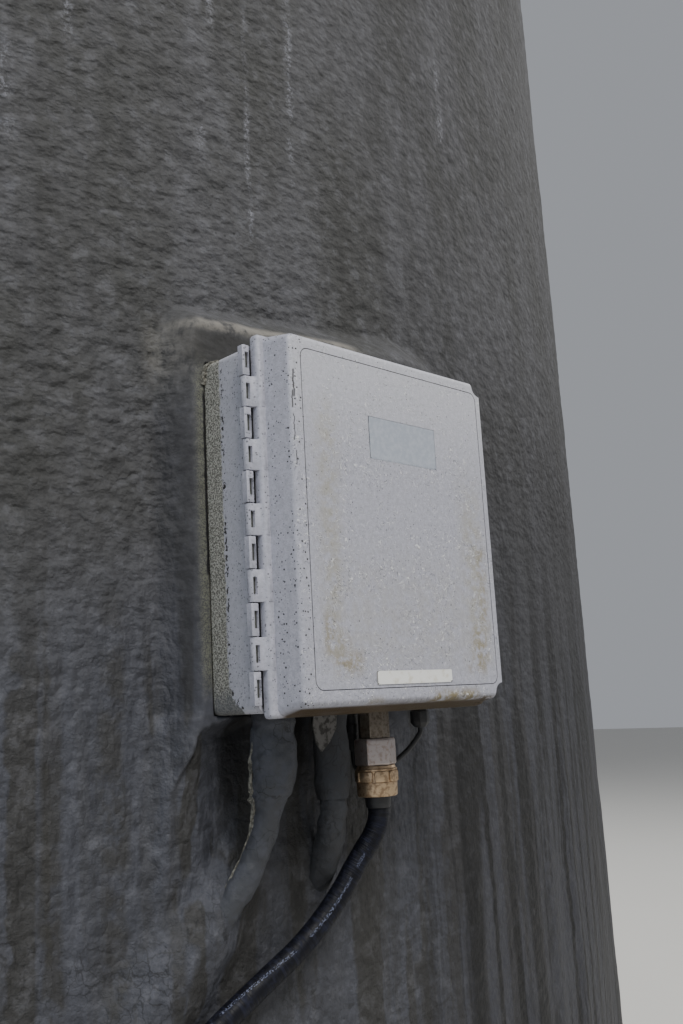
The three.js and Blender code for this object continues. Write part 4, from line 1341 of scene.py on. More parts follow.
# Painted shadow along the tape's left and lower edges.
TAPE_SHADOW = Plain("tape_shadow", "tape", grey(26, 25, 24), grey(60, 58, 54), 0, 0.5, 160, 0.5, 0.7, 900)
PIN_STEEL = Plain("pin_steel", "zinc_steel", grey(102, 103, 98), grey(70, 71, 66), 0.7, 0.5, 260, 0.42, 0.68, 900)
CABLE = CableJacket()
CONDUIT = Plain(
    "conduit_coating", "foam_jacket", grey(54, 56, 61), grey(70, 72, 79), 0, 0.6, 60, 0.42, 0.62, 260, 0.0022, 0.6,
)
DARK_CONDUIT = Plain(
    "dark_conduit", "foam_jacket", grey(43, 44, 47), grey(58, 60, 64), 0, 0.7, 60, 0.42, 0.62, 260, 0.0022, 0.5,
)
OLD_FOAM = Plain("old_foam", "foam_jacket", grey(124, 122, 113), grey(66, 64, 58), 0, 0.9, 260, 0.42, 0.6, 420, 0.002)
FLAKE = Plain("coating_flake", "foam_jacket", grey(90, 88, 86), grey(38, 36, 33), 0, 0.8, 130, 0.44, 0.6, 420, 0.001)


@dataclass
class Shot:
    """The camera at the photograph's angle, in metres, degrees and millimetres of lens."""

    place: Point = (-0.7507, -2.6831, 1.3067)
    yaw: float = -44.19
    pitch: float = -10.93
    roll: float = -3.15
    lens: float = 35.04
    nearest: float = 0.02

    def build(self) -> bpy.types.Object:
        """Adds the camera and makes it the scene's.

        Returns:
            The camera.
        """
        camera = bpy.data.objects.new("camera", bpy.data.cameras.new("camera"))
        bpy.context.scene.collection.objects.link(camera)
        turn = turned_by(self.roll) @ turned_by(self.pitch, "X") @ turned_by(self.yaw, "Y")
        seen = turn.to_3x3() @ Matrix(((1, 0, 0), (0, 0, -1), (0, 1, 0)))
        facing = Matrix((seen[0], -seen[1], -seen[2])).transposed().to_4x4()
        camera.matrix_world = Matrix.Translation(self.place) @ facing
        camera.data.lens = self.lens
        camera.data.clip_start = self.nearest
        bpy.context.scene.camera = camera
        return camera


@dataclass
class Studio:
    """A pale floor and soft light from above, the left and the far side."""

    floor_size: float = 60
    floor_colour: Colour = grey(206, 204, 198)
    sky_colour: Colour = grey(226, 230, 238)
    sky_strength: float = 0.42

    def lamp(self, name: str, place: Point, aim: Point, size: float, power: float, colour: Point) -> None:
        """Adds a square soft lamp.

        Args:
            name: Its name.
            place: Where it hangs.
            aim: The point it is turned to.
            size: Its side, in metres.
            power: Its power, in watts.
            colour: The colour of its light.
        """
        data = bpy.data.lights.new(name, "AREA")
        data.size, data.energy, data.color = size, power, colour
        lamp = bpy.data.objects.new(name, data)
        lamp.location = place
        lamp.rotation_euler = (Vector(aim) - Vector(place)).to_track_quat("-Z", "Y").to_euler()
        bpy.context.scene.collection.objects.link(lamp)

    def build(self) -> None:
        """Adds the floor, the lamps and the sky."""
        floor = Bench.primitive("plane", "floor", size=self.floor_size)
        Bench.select(floor, Element.FACE)
        bpy.ops.mesh.subdivide(number_cuts=3)
        bpy.ops.object.mode_set(mode="OBJECT")
        Plain("pale_floor", "", self.floor_colour, self.floor_colour, 0, 0.85, 3, grain=60).dress(floor)
        world = bpy.context.scene.world or bpy.data.worlds.new("sky")
        bpy.context.scene.world = world
        world.use_nodes = True
        sky = world.node_tree.nodes["Background"]
        sky.inputs["Color"].default_value = self.sky_colour
        sky.inputs["Strength"].default_value = self.sky_strength
        self.lamp("high_front", (-1.5, -7.0, 8.5), (0, -1.5, 1.4), 3.2, 820, (1.0, 0.98, 0.95))
        self.lamp("left_sky", (-6.5, -4.0, 4.0), (0, -1.5, 1.6), 4, 90, (0.66, 0.8, 1.0))
        self.lamp("back_sky", (2.5, 9.0, 6.5), (0, 1.5, 1.4), 5, 700, (0.96, 0.98, 1.0))
        self.lamp("right_sky", (7.0, -3.0, 6.0), (0, -1.0, 1.6), 5, 200, (1.0, 0.99, 0.97))


@dataclass
class SupplyCable:
    """Supply cable from the cord grip down to its coil, with tie and plug, in metres."""

    radius: float = 0.0114
    step: float = 0.0234
    coil_centre: Pair = (-0.577, -2.085)
    coil_steps: int = 24
    first_radius: float = 0.105
    turns: float = 2.5
    lift: float = 0.0028
    climb: float = math.radians(120)
    tail: float = 0.128
    plug_radius: float = 0.029
    length: float = 4.5
    route: tuple[Point, ...] = (
        (0.038, -1.9035, 1.1964), (0.038, -1.9035, 1.1914), (0.0365, -1.9025, 1.182), (0.031, -1.899, 1.168),
        (0.022, -1.8935, 1.154), (0.011, -1.888, 1.137), (-0.001, -1.8845, 1.12), (-0.028, -1.879, 1.092),
        (-0.059, -1.875, 1.069), (-0.091, -1.871, 1.051), (-0.121, -1.8685, 1.035), (-0.152, -1.866, 1.018),
        (-0.192, -1.8635, 0.993), (-0.236, -1.8595, 0.959), (-0.278, -1.854, 0.916), (-0.318, -1.848, 0.862),
        (-0.352, -1.8425, 0.797), (-0.38, -1.8375, 0.72), (-0.402, -1.8335, 0.636), (-0.419, -1.8305, 0.548),
        (-0.432, -1.829, 0.458), (-0.441, -1.833, 0.368), (-0.448, -1.845, 0.283), (-0.453, -1.87, 0.208),
        (-0.457, -1.909, 0.143), (-0.459, -1.957, 0.092), (-0.46, -2.008, 0.056), (-0.46, -2.042, 0.0405),
        (-0.46, -2.064, 0.0356),
    )

    def coil(self) -> list[Point]:
        """Lays the coil: the top turn in the groove of the flat ones, then the flat turns.

        Returns:
            Its points.
        """
        floor = self.radius + self.lift
        made = []
        for k in range(int(self.coil_steps * (1 + self.turns)) + 1):
            angle = 2 * math.pi * k / self.coil_steps
            flat = angle - 2 * math.pi
            if flat >= 0:
                r, z = self.first_radius + self.step * flat / (2 * math.pi), floor
            else:
                lean = self.climb * (1 - min(max(1 + flat / (math.pi / 2), 0), 1))
                spiral = self.first_radius + self.step * angle / (2 * math.pi)
                r, z = spiral - self.step * math.cos(lean), floor + self.step * math.sin(lean)
            made.append((self.coil_centre[0] + r * math.cos(angle), self.coil_centre[1] - r * math.sin(angle), z))
        return made

    def build(self) -> None:
        """Lays the cable, ties the coil and fits the plug."""
        coil = self.coil()
        end = np.array(coil[-1])
        rise = self.plug_radius - end[2] + 0.0003
        shares = ((0.16, 0), (0.32, 0.12), (0.48, 0.42), (0.64, 0.76), (0.8, 0.97), (0.9, 1), (1, 1))
        tail = [tuple(end + [0, run * self.tail, up * rise]) for run, up in shares]
        path = catmull_rom([*self.route, *coil, *tail], 6)
        cable = Maker.tube("supply_cable", path, self.radius, 20)
        CABLE.dress(cable)
        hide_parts("power_cable", "cable_coil", "cable_tail")
        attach(cable, TANK)
        plug = self._plug(path[-1])
        tie = frame["nodes"]["cable_tie"]
        PLASTIC.dress(tie)
        measured = float(np.linalg.norm(np.diff(path, axis=0), axis=1).sum())
        LOG.info("supply cable measures %.3f m", measured)

    def _plug(self, back: np.ndarray) -> Piece:
        """Makes the moulded plug with its three blades, lying on the ground.

        Args:
            back: Where the cable enters it.

        Returns:
            The plug.
        """
        profile = [
            (0, 0.3), (15.4, 0.3), (16, 3), (14.6, 4), (15.4, 8), (16.6, 9), (15.2, 10), (16.2, 14), (17.4, 15),
            (16.4, 16.5), (17.4, 20), (26, 30), (29, 40), (29, 48), (27.6, 50), (27.6, 76), (29, 78), (29, 92), (0, 92),
        ]
        lay = Matrix.Translation(back) @ turned_by(-90, "X") @ TO_METRES
        body = PLASTIC.dress(Maker.turned("plug_body", profile, 40, 0.8, lay))
        blades = Bench.around(Maker.block("blade", (-4, 11, 90), (4, 13, 116), 0.5, 2), 3)
        for blade in blades:
            blade.data.transform(lay)
            STEEL.dress(blade)
        plug = Bench.join("plug", [body, *blades])
        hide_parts("cable_plug")
        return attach(plug, TANK)


@dataclass
class FoamJacket:
    """The sprayed foam over wall and dome, laid as grids over the tank's turned profile, in metres.

    A place on it is an arc length round the front, positive to the right, and a station up the profile
    that equals the height on the straight wall.
    """

    radius: float = 1.854
    knuckle: float = 0.1
    wall_top: float = 3.58
    shoulder: float = 0.35
    slope: float = math.radians(18)
    thick: float = 0.0496
    hole: float = 0.3175
    proud: float = 0.0365
    box_left: float = -0.1592
    box_right: float = 0.1555
    box_low: float = 1.3025
    box_top: float = 1.661
    box_edge: float = 0.0018
    box_back: float = -0.002
    split: float = 1.48
    rim: float = 0.004
    reach: float = 0.7
    crumbs: tuple[Point, ...] = (
        (-32.5, 115, 318), (-32, 113.5, 329), (-29.5, 111, 337.5), (-22, 107, 342), (-12, 104, 343.2), (-3, 102, 343.2),
    )
    crumb_radius: float = 0.0027
    conduit_left: tuple[Station, ...] = (
        (-0.105, 1.2, 0.02, 0.0), (-0.114, 1.164, 0.03, 0.008), (-0.134, 1.126, 0.042, 0.022),
        (-0.156, 1.096, 0.052, 0.03), (-0.19, 1.062, 0.058, 0.027), (-0.222, 1.02, 0.06, 0.021),
        (-0.245, 0.96, 0.058, 0.016), (-0.262, 0.88, 0.058, 0.01), (-0.28, 0.8, 0.06, 0.0),
    )
    conduit_middle: tuple[Station, ...] = (
        (-0.021, 1.2, 0.012, 0.0), (-0.019, 1.165, 0.018, 0.01), (-0.014, 1.14, 0.022, 0.014),
        (-0.006, 1.11, 0.026, 0.008), (0.004, 1.06, 0.03, 0.0),
    )

    def _crown(self) -> tuple[float, float, float]:
        """Works out the large round of the dome.

        Returns:
            Its radius, the height of its centre, and the station where it starts.
        """
        radius = (self.radius - self.shoulder + self.shoulder * math.sin(self.slope)) / math.sin(self.slope)
        centre = self.wall_top + (self.shoulder - radius) * math.cos(self.slope)
        return radius, centre, self.wall_top + self.shoulder * (math.pi / 2 - self.slope)

    def profile(self, s: np.ndarray) -> tuple[np.ndarray, np.ndarray, np.ndarray, np.ndarray]:
        """Draws the turned profile.

        Args:
            s: Stations up it.

        Returns:
            The radius and the height there, and the two parts of the way out.
        """
        crown_r, crown_z, start = self._crown()
        low = np.clip((s - self.knuckle) / self.knuckle, -math.pi / 2, 0)
        high = np.clip((s - self.wall_top) / self.shoulder, 0, math.pi / 2 - self.slope)
        polar = self.slope - np.maximum(s - start, 0) / crown_r
        on_crown = s > start
        r = self.radius + self.knuckle * (np.cos(low) - 1) + self.shoulder * (np.cos(high) - 1)
        z = np.clip(s, self.knuckle, self.wall_top) + self.knuckle * np.sin(low) + self.shoulder * np.sin(high)
        r = np.where(on_crown, crown_r * np.sin(polar), r)
        z = np.where(on_crown, crown_z + crown_r * np.cos(polar), z)
        tilt = np.where(on_crown, math.pi / 2 - polar, low + high)
        return r, z, np.cos(tilt), np.sin(tilt)

    def _ridge(self, arc: np.ndarray, s: np.ndarray, run: Sequence[Station]) -> np.ndarray:
        """Gives the height of foam over a buried conduit.

        Args:
            arc: Arc lengths round from the front.
            s: Stations up the profile.
            run: The conduit's stations: arc, height, half width and rise.

        Returns:
            The height at each place.
        """
        best = np.zeros(arc.shape)
        for (a0, z0, w0, h0), (a1, z1, w1, h1) in zip(run, run[1:]):
            along = np.array([a1 - a0, z1 - z0])
            t = np.clip(((arc - a0) * along[0] + (s - z0) * along[1]) / (along @ along), 0, 1)
            off = np.hypot(arc - a0 - t * along[0], s - z0 - t * along[1])
            width, height = w0 + (w1 - w0) * t, h0 + (h1 - h0) * t
            best = np.maximum(best, height * smooth(1 - off / width) ** 0.8)
        return best

    def height(self, arc: np.ndarray, s: np.ndarray, place: np.ndarray) -> np.ndarray:
        """How far the foam stands out from its turned profile.

        Args:
            arc: Arc lengths round from the front.
            s: Stations up the profile.
            place: The places on the turned profile.

        Returns:
            The height at each place, in metres.
        """
        lumps = 0.0028 * noise(place / 0.42, 1) + 0.0016 * noise(place / 0.15, 2) + 0.0008 * noise(place / 0.06, 3)
        folds = noise(place * [15, 15, 1.4], 4) + 0.5 * noise(place * [34, 34, 8], 9) * smooth((1.5 - s) / 0.4)
        ripple = noise(place * [44, 44, 76], 5)
        lower = smooth((1.75 - s) / 0.6)
        made = lumps + 0.0014 * folds * (0.4 + lower) + 0.001 * ripple * (1 - 0.7 * lower)
        foot = smooth(s / 0.1 + 0.6)
        if not (np.abs(arc) < self.reach).any():
            return made * foot
        bank = np.maximum(self._bank(arc, s, noise(place / 0.04, 6)), self._flank(arc, s))
        ridge = np.maximum(self._ridge(arc, s, self.conduit_left), self._ridge(arc, s, self.conduit_middle))
        calm = 1 - 0.75 * smooth(bank / 0.02)
        made = made * calm + np.maximum(bank, ridge) + self._pleats(arc, s, place)
        across = (arc > self.box_left + self.box_edge) & (arc < self.box_right - self.box_edge)
        behind = across & (s > self.box_low + self.box_edge) & (s < self.box_top - self.box_edge)
        return np.where(behind, np.minimum(self.box_back, made), made) * foot

    def _pleats(self, arc: np.ndarray, s: np.ndarray, place: np.ndarray) -> np.ndarray:
        """Gives the short pleats under the box's left corner and the long ones right of it.

        Args:
            arc: Arc lengths round from the front.
            s: Stations up the profile.
            place: The places on the turned profile.

        Returns:
            Their height at each place.
        """
        short = 0.0035 * noise(place * [70, 70, 12], 7) * smooth(1 - np.abs(arc + 0.17) / 0.1)
        long = 0.0048 * noise(place * [26, 26, 1.3], 8) * smooth((arc - 0.1) / 0.15) * smooth((self.reach - arc) / 0.1)
        return short * smooth(1 - np.abs(s - 1.2) / 0.11) + long * smooth((1.45 - s) / 0.3)

    def _bank(self, arc: np.ndarray, s: np.ndarray, wobble: np.ndarray) -> np.ndarray:
        """Gives the bank at the box's sides and the ledge above it.

        Args:
            arc: Arc lengths round from the front.
            s: Stations up the profile.
            wobble: Noise that moves its edge.

        Returns:
            Its height at each place.
        """
        beside = np.maximum(np.maximum(self.box_left - arc, arc - self.box_right), 0)
        above = np.maximum(s - self.box_top, 0)
        across = beside / (0.038 + 0.13 * smooth((s - self.box_top + 0.03) / 0.04) * (arc > 0))
        upward = above / (0.078 + 0.11 * (arc + 0.13))
        reach = np.hypot(across, upward) * (1 + 0.06 * wobble)
        core = 0.24 + 0.36 * upward**2 / (across**2 + upward**2 + TINY)
        fall = np.clip((reach - core) / (1 - core), 0, 1)
        return self.proud * (1 - 0.5 * fall - 0.5 * smooth(fall)) * (s >= self.box_low)

    def _flank(self, arc: np.ndarray, s: np.ndarray) -> np.ndarray:
        """Gives the bank's foot below the box on the left, hollowed towards the conduit.

        Args:
            arc: Arc lengths round from the front.
            s: Stations up the profile.

        Returns:
            Its height at each place.
        """
        down = self.box_low - s
        crest = self.proud * (1 - smooth(down / 0.25))
        outer = 1 - smooth((-0.17 - arc) / (0.036 + 0.1 * np.maximum(down, 0)))
        lip = -0.137 - 0.038 * smooth(down / 0.018) - 0.02 * smooth((down - 0.018) / 0.06)
        past = arc - lip
        inner = 1 - 0.32 * smooth(past / 0.005) - 0.68 * smooth(past / 0.06)
        return crest * outer * inner * (s < self.box_low)

    def surface(self, s: np.ndarray, arc: np.ndarray, sunk: float = 0) -> np.ndarray:
        """Gives places on the foam.

        Args:
            s: Stations up the profile.
            arc: Arc lengths round from the front.
            sunk: How deep under the turned profile they lie. At 0 they lie on the foam's own surface.

        Returns:
            The places, one a row.
        """
        r, z, out, up = self.profile(s)
        turn = arc / self.radius
        place = np.stack([r * np.sin(turn), -r * np.cos(turn), z], -1)
        h = -sunk if sunk else self.height(arc, s, place)
        way = np.stack([out * np.sin(turn), -out * np.cos(turn), up], -1)
        return place + way * np.broadcast_to(h, s.shape)[..., None]

    def lay(self, name: str, arcs: np.ndarray, rows: np.ndarray, *nodes: str) -> Piece:
        """Lays one closed piece of foam that stands for CAD nodes.

        Args:
            name: The piece's name.
            arcs: Stations round the wall.
            rows: Stations up the profile.
            *nodes: The nodes it stands for.

        Returns:
            The piece.
        """
        wide, tall = (np.concatenate([[line[0] - self.rim], line, [line[-1] + self.rim]]) for line in (arcs, rows))
        grid = self.surface(*np.broadcast_arrays(tall[:, None], wide[None, :]))
        facing = np.cross(np.gradient(grid, axis=1), np.gradient(grid, axis=0))[1:-1, 1:-1]
        facing /= np.linalg.norm(facing, axis=-1)[..., None]
        piece, index = Maker.sheet(name, rows, arcs, lambda s, a: np.zeros((len(s), 3)))
        row, col = index.T
        Bench.place(piece, grid[1:-1, 1:-1][row, col])
        outer = len(piece.data.vertices)
        few = [line[np.rint(np.linspace(0, len(line) - 1, len(line) // 6 + 2)).astype(int)] for line in (rows, arcs)]
        inner, _ = Maker.sheet(f"{name}_inner", *few, lambda s, a: self.surface(s, a, self.thick))
        Bench.select(inner, Element.FACE)
        bpy.ops.mesh.flip_normals()
        Bench.join(name, [piece, inner])
        Bench.select(piece, Element.EDGE)
        bpy.ops.mesh.select_all(action="DESELECT")
        bpy.ops.mesh.select_non_manifold(extend=False)
        bpy.ops.mesh.bridge_edge_loops()
        Bench.focus(piece)
        self._smooth_outside(piece, outer, facing[row, col])
        FOAM.dress(piece)
        if nodes:
            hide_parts(*nodes)
        LOG.info("%s: %d faces", name, len(piece.data.polygons))
        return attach(piece, TANK)

    @staticmethod
    def _smooth_outside(piece: Piece, outer: int, normals: np.ndarray) -> None:
        """Shades the outer side by the surface's own normals, so that no seam shows between two pieces.

        Args:
            piece: The piece.
            outer: How many of its first vertices lie on the outer side.
            normals: The normal at each of those.
        """
        mesh = piece.data
        corners = Bench.read(mesh.loops, "vertex_index", 1)
        starts = Bench.read(mesh.polygons, "loop_start", 1)
        outside = np.minimum.reduceat(corners < outer, starts).astype(bool)
        mesh.polygons.foreach_set("use_smooth", outside)
        shown = np.repeat(outside, Bench.read(mesh.polygons, "loop_total", 1))
        wanted = np.zeros((len(corners), 3))
        wanted[shown] = normals[corners[shown]]
        mesh.normals_split_custom_set(wanted.tolist())

    def build(self) -> None:
        """Lays the wall in pieces, finest round the box, and the dome."""
        half = math.pi * self.radius / 8
        base = self.knuckle * (1 - math.pi / 2)
        left, right, sill, head = self.box_left, self.box_right, self.box_low, self.box_top
        front = stations(
            -half, (-0.42, 0.012), (-0.27, 0.006), (left - 0.0045, 0.0032), (left + 0.0012, 0.0015),
            (left + 0.0035, 0.004), (right - 0.0035, 0.0052), (right + 0.0005, 0.004), (0.24, 0.005), (half, 0.008),
        )
        low = stations(
            base, (self.knuckle, 0.026), (0.68, 0.016), (0.86, 0.007), (sill - 0.0005, 0.0036), (sill + 0.0035, 0.004),
            (self.split, 0.004),
        )
        high = stations(
            self.split, (head - 0.0035, 0.0036), (head + 0.0005, 0.004), (2.1, 0.0036), (2.9, 0.0062),
            (self.wall_top, 0.012),
        )
        self.lay("jacket_front_low", front, low, "jacket_wall_1")
        mounds = ("foam_mound_left", "foam_mound_right", "foam_mound_top")
        self.lay("jacket_front_high", front, high, "jacket_wall_1", *mounds)
        side = stations(half, (1.12, 0.009), (3 * half, 0.028))
        self.lay("jacket_right", side, np.concatenate([low, high[1:]]), "jacket_wall_2")
        coarse = stations(base, (self.knuckle, 0.026), (self.wall_top, 0.016))
        for k in range(2, 8):
            arcs = stations((2 * k - 1) * half, ((2 * k + 1) * half, 0.02))
            self.lay(f"jacket_side_{k}", arcs, coarse, f"jacket_wall_{k + 1}")
        self._dome()
        self._crumbs()

    def _crumbs(self) -> None:
        """Adds torn foam that fills the corner over the box's hinge side."""
        path = catmull_rom([in_box(*p) for p in self.crumbs], 14)

        def radius(share: np.ndarray, angle: np.ndarray) -> np.ndarray:
            """Gives the radius.

            Args:
                share: Shares of the path.
                angle: Angles round it.

            Returns:
                The radius at each.
            """
            where = np.stack([np.cos(angle), np.sin(angle), share * 9], -1)
            torn = 1 + 0.5 * noise(where * 1.6, 61) + 0.3 * noise(where * 3.7, 62)
            return self.crumb_radius * torn * (1 - 0.45 * share)

        crumbs = Maker.tube("foam_crumbs", path, radius, 20)
        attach(OLD_FOAM.dress(crumbs), TANK)

    def _dome(self) -> None:
        """Lays the foam over the dome, open round the manway."""
        crown_r, _, start = self._crown()
        end = start + crown_r * (self.slope - math.asin(self.hole / crown_r))
        rows = stations(self.wall_top, (end, 0.026))
        arcs = np.linspace(0, 2 * math.pi * self.radius, 361)
        dome, _ = Maker.sheet("jacket_top", rows, arcs, self.surface)
        Bench.done(dome, 1e-4, False)
        Bench.modify(dome, "SOLIDIFY", thickness=self.thick, offset=-1)
        Bench.shade(dome, 50)
        FOAM.dress(dome)
        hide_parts("jacket_dome")
        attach(dome, TANK)


@dataclass
class Hinge:
    """Knuckles of the moulded hinge, in the box's frame, in millimetres."""

    x: float = -34.5
    y: float = 43
    top: float = 338
    pitch: float = 31.7
    gap: float = 1
    count: int = 11
    front: float = 38.6
    arm_front: float = 32.0
    round_r: float = 5.05
    bore: float = 2.4
    slot: Pair = (-37.4, -32.8)
    slot_half: float = 8.2
    slot_floor: float = 41.3

    def _knuckle(self, name: str, outline: Sequence[Pair]) -> Piece:
        """Makes one knuckle at the origin's height: an outline drawn out upwards, bored and slotted.

        Args:
            name: The piece's name.
            outline: Its corners, seen from above.

        Returns:
            The knuckle.
        """
        half = (self.pitch - self.gap) / 2
        piece = Maker.slab(name, [(x, y, -half) for x, y in outline], (0, 0, 2 * half))
        Bench.bevel(piece, 0.5, 2, 50)
        axis = (self.x, self.y, 0)
        bore = Bench.primitive("cylinder", "bore", vertices=20, radius=self.bore, depth=60, location=axis)
        low = (self.slot[0], self.front - 6, -self.slot_half)
        slot = Maker.block("slot", low, (self.slot[1], self.slot_floor, self.slot_half), 0.4, 2)
        SHADOW.dress(slot)
        FIBREGLASS.dress(piece)
        return Bench.carve(piece, bore, slot)

    def base_knuckle(self) -> Piece:
        """Makes a knuckle that grows out of the base.

        Returns:
            The knuckle.
        """
        x, y = self.x, self.y
        left, right = x - 5.3, x + 2.8
        return self._knuckle("base_knuckle", [
            (left, y + 3.5), (left, y - 3.2), (left + 1.4, self.front), (right - 0.6, self.front),
            (right, self.front + 0.8), (right, y + 2.2), (x + 5.8, y + 2.2), (x + 5.8, y + 9), (x + 3.5, y + 9),
            (left + 1.6, y + 5.6),
        ])

    def door_knuckle(self) -> Piece:
        """Makes a knuckle that grows out of the door's flange.

        Returns:
            The knuckle.
        """
        x, y, r = self.x, self.y, self.round_r
        return self._knuckle("door_knuckle", [
            *((x + r * math.cos(a), y + r * math.sin(a)) for a in np.radians(np.arange(40, 201, 20))),
            (x - 4.3, y - 3.0), (x - 3.1, self.front), (x + 3.5, self.front - 0.6), (x + 11.5, self.arm_front),
            (x + 15, self.arm_front), (x + 15, y - 0.5), (x + r, y - 0.5),
        ])

    def grow(self, piece: Piece, knuckle: Piece, first: int) -> None:
        """Adds every other knuckle to a half of the box.

        Args:
            piece: The base or the door.
            knuckle: One knuckle, which is used up.
            first: The number of the first one, counted from the top.
        """
        heights = [self.top - (k + 0.5) * self.pitch for k in range(first, self.count, 2)]
        knuckles = Bench.spread(knuckle, [Matrix.Translation((0, 0, z)) for z in heights])
        Bench.carve(piece, *knuckles, operation="UNION")


@dataclass
class BoxBase:
    """The fibreglass base of the box, its hinge pin and its back panel, in the box's frame, in millimetres."""

    low: Point = (-30, 46, -17.5)
    high: Point = (287.5, 144.2, 341)
    corner: float = 8
    wall: float = 5
    depth: float = 93.2
    panel_margin: float = 27
    panel_back: float = 131.4
    panel_thick: float = 2.5
    screw_margin: float = 14
    hinge: Hinge = field(default_factory=Hinge)

    def build(self) -> None:
        """Builds the base, the pin and the panel."""
        base = Maker.tablet("box_base", self.low, self.high, self.corner, 6)
        Bench.select(base, Element.FACE, lambda c, n: n[:, 1] < -ALONG)
        bpy.ops.mesh.inset(thickness=self.wall)
        bpy.ops.mesh.extrude_region_move(TRANSFORM_OT_translate={"value": (0, self.depth, 0)})
        Bench.done(base, outward=False)
        Bench.bevel(base, 1.1, 3, 50)
        FIBREGLASS.dress(base)
        self.hinge.grow(base, self.hinge.base_knuckle(), 0)
        base.data.transform(TO_BOX)
        Bench.shade(base, 32)
        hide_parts("box_body")
        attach(base, TANK)
        PIN_STEEL.dress(frame["nodes"]["hinge_pin"])
        RUBBER.dress(frame["nodes"]["door_gasket"])
        self._panel()

    def _panel(self) -> None:
        """Builds the steel panel with a slotted screw at each corner."""
        m = self.panel_margin
        low = (self.low[0] + m, self.panel_back - self.panel_thick, self.low[2] + m)
        high = (self.high[0] - m, self.panel_back, self.high[2] - m)
        panel = Maker.tablet("gear_panel", low, high, 4, 4)
        Bench.bevel(panel, 0.5, 2, 50)
        PANEL_STEEL.dress(panel)
        profile = [(0, -3.4), (2.4, -3.3), (4.4, -2.2), (5, 0), (6, 0.2), (6, 2.6), (6, 10.2), (0, 10.2)]
        screw = Maker.turned("panel_screw", profile, 20, 0.2, turned_by(-90, "X"), 2)
        Bench.carve(screw, Maker.block("screw_slot", (-5, -6, -0.6), (5, -2.3, 0.6)))
        STEEL.dress(screw)
        m = self.screw_margin
        places = [(x, low[1], z) for x in (low[0] + m, high[0] - m) for z in (low[2] + m, high[2] - m)]
        panel = Bench.join("gear_panel", [panel, *Bench.spread(screw, list(map(Matrix.Translation, places)))])
        panel.data.transform(TO_BOX)
        Bench.shade(panel)
        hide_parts("back_panel")
        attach(panel, TANK)


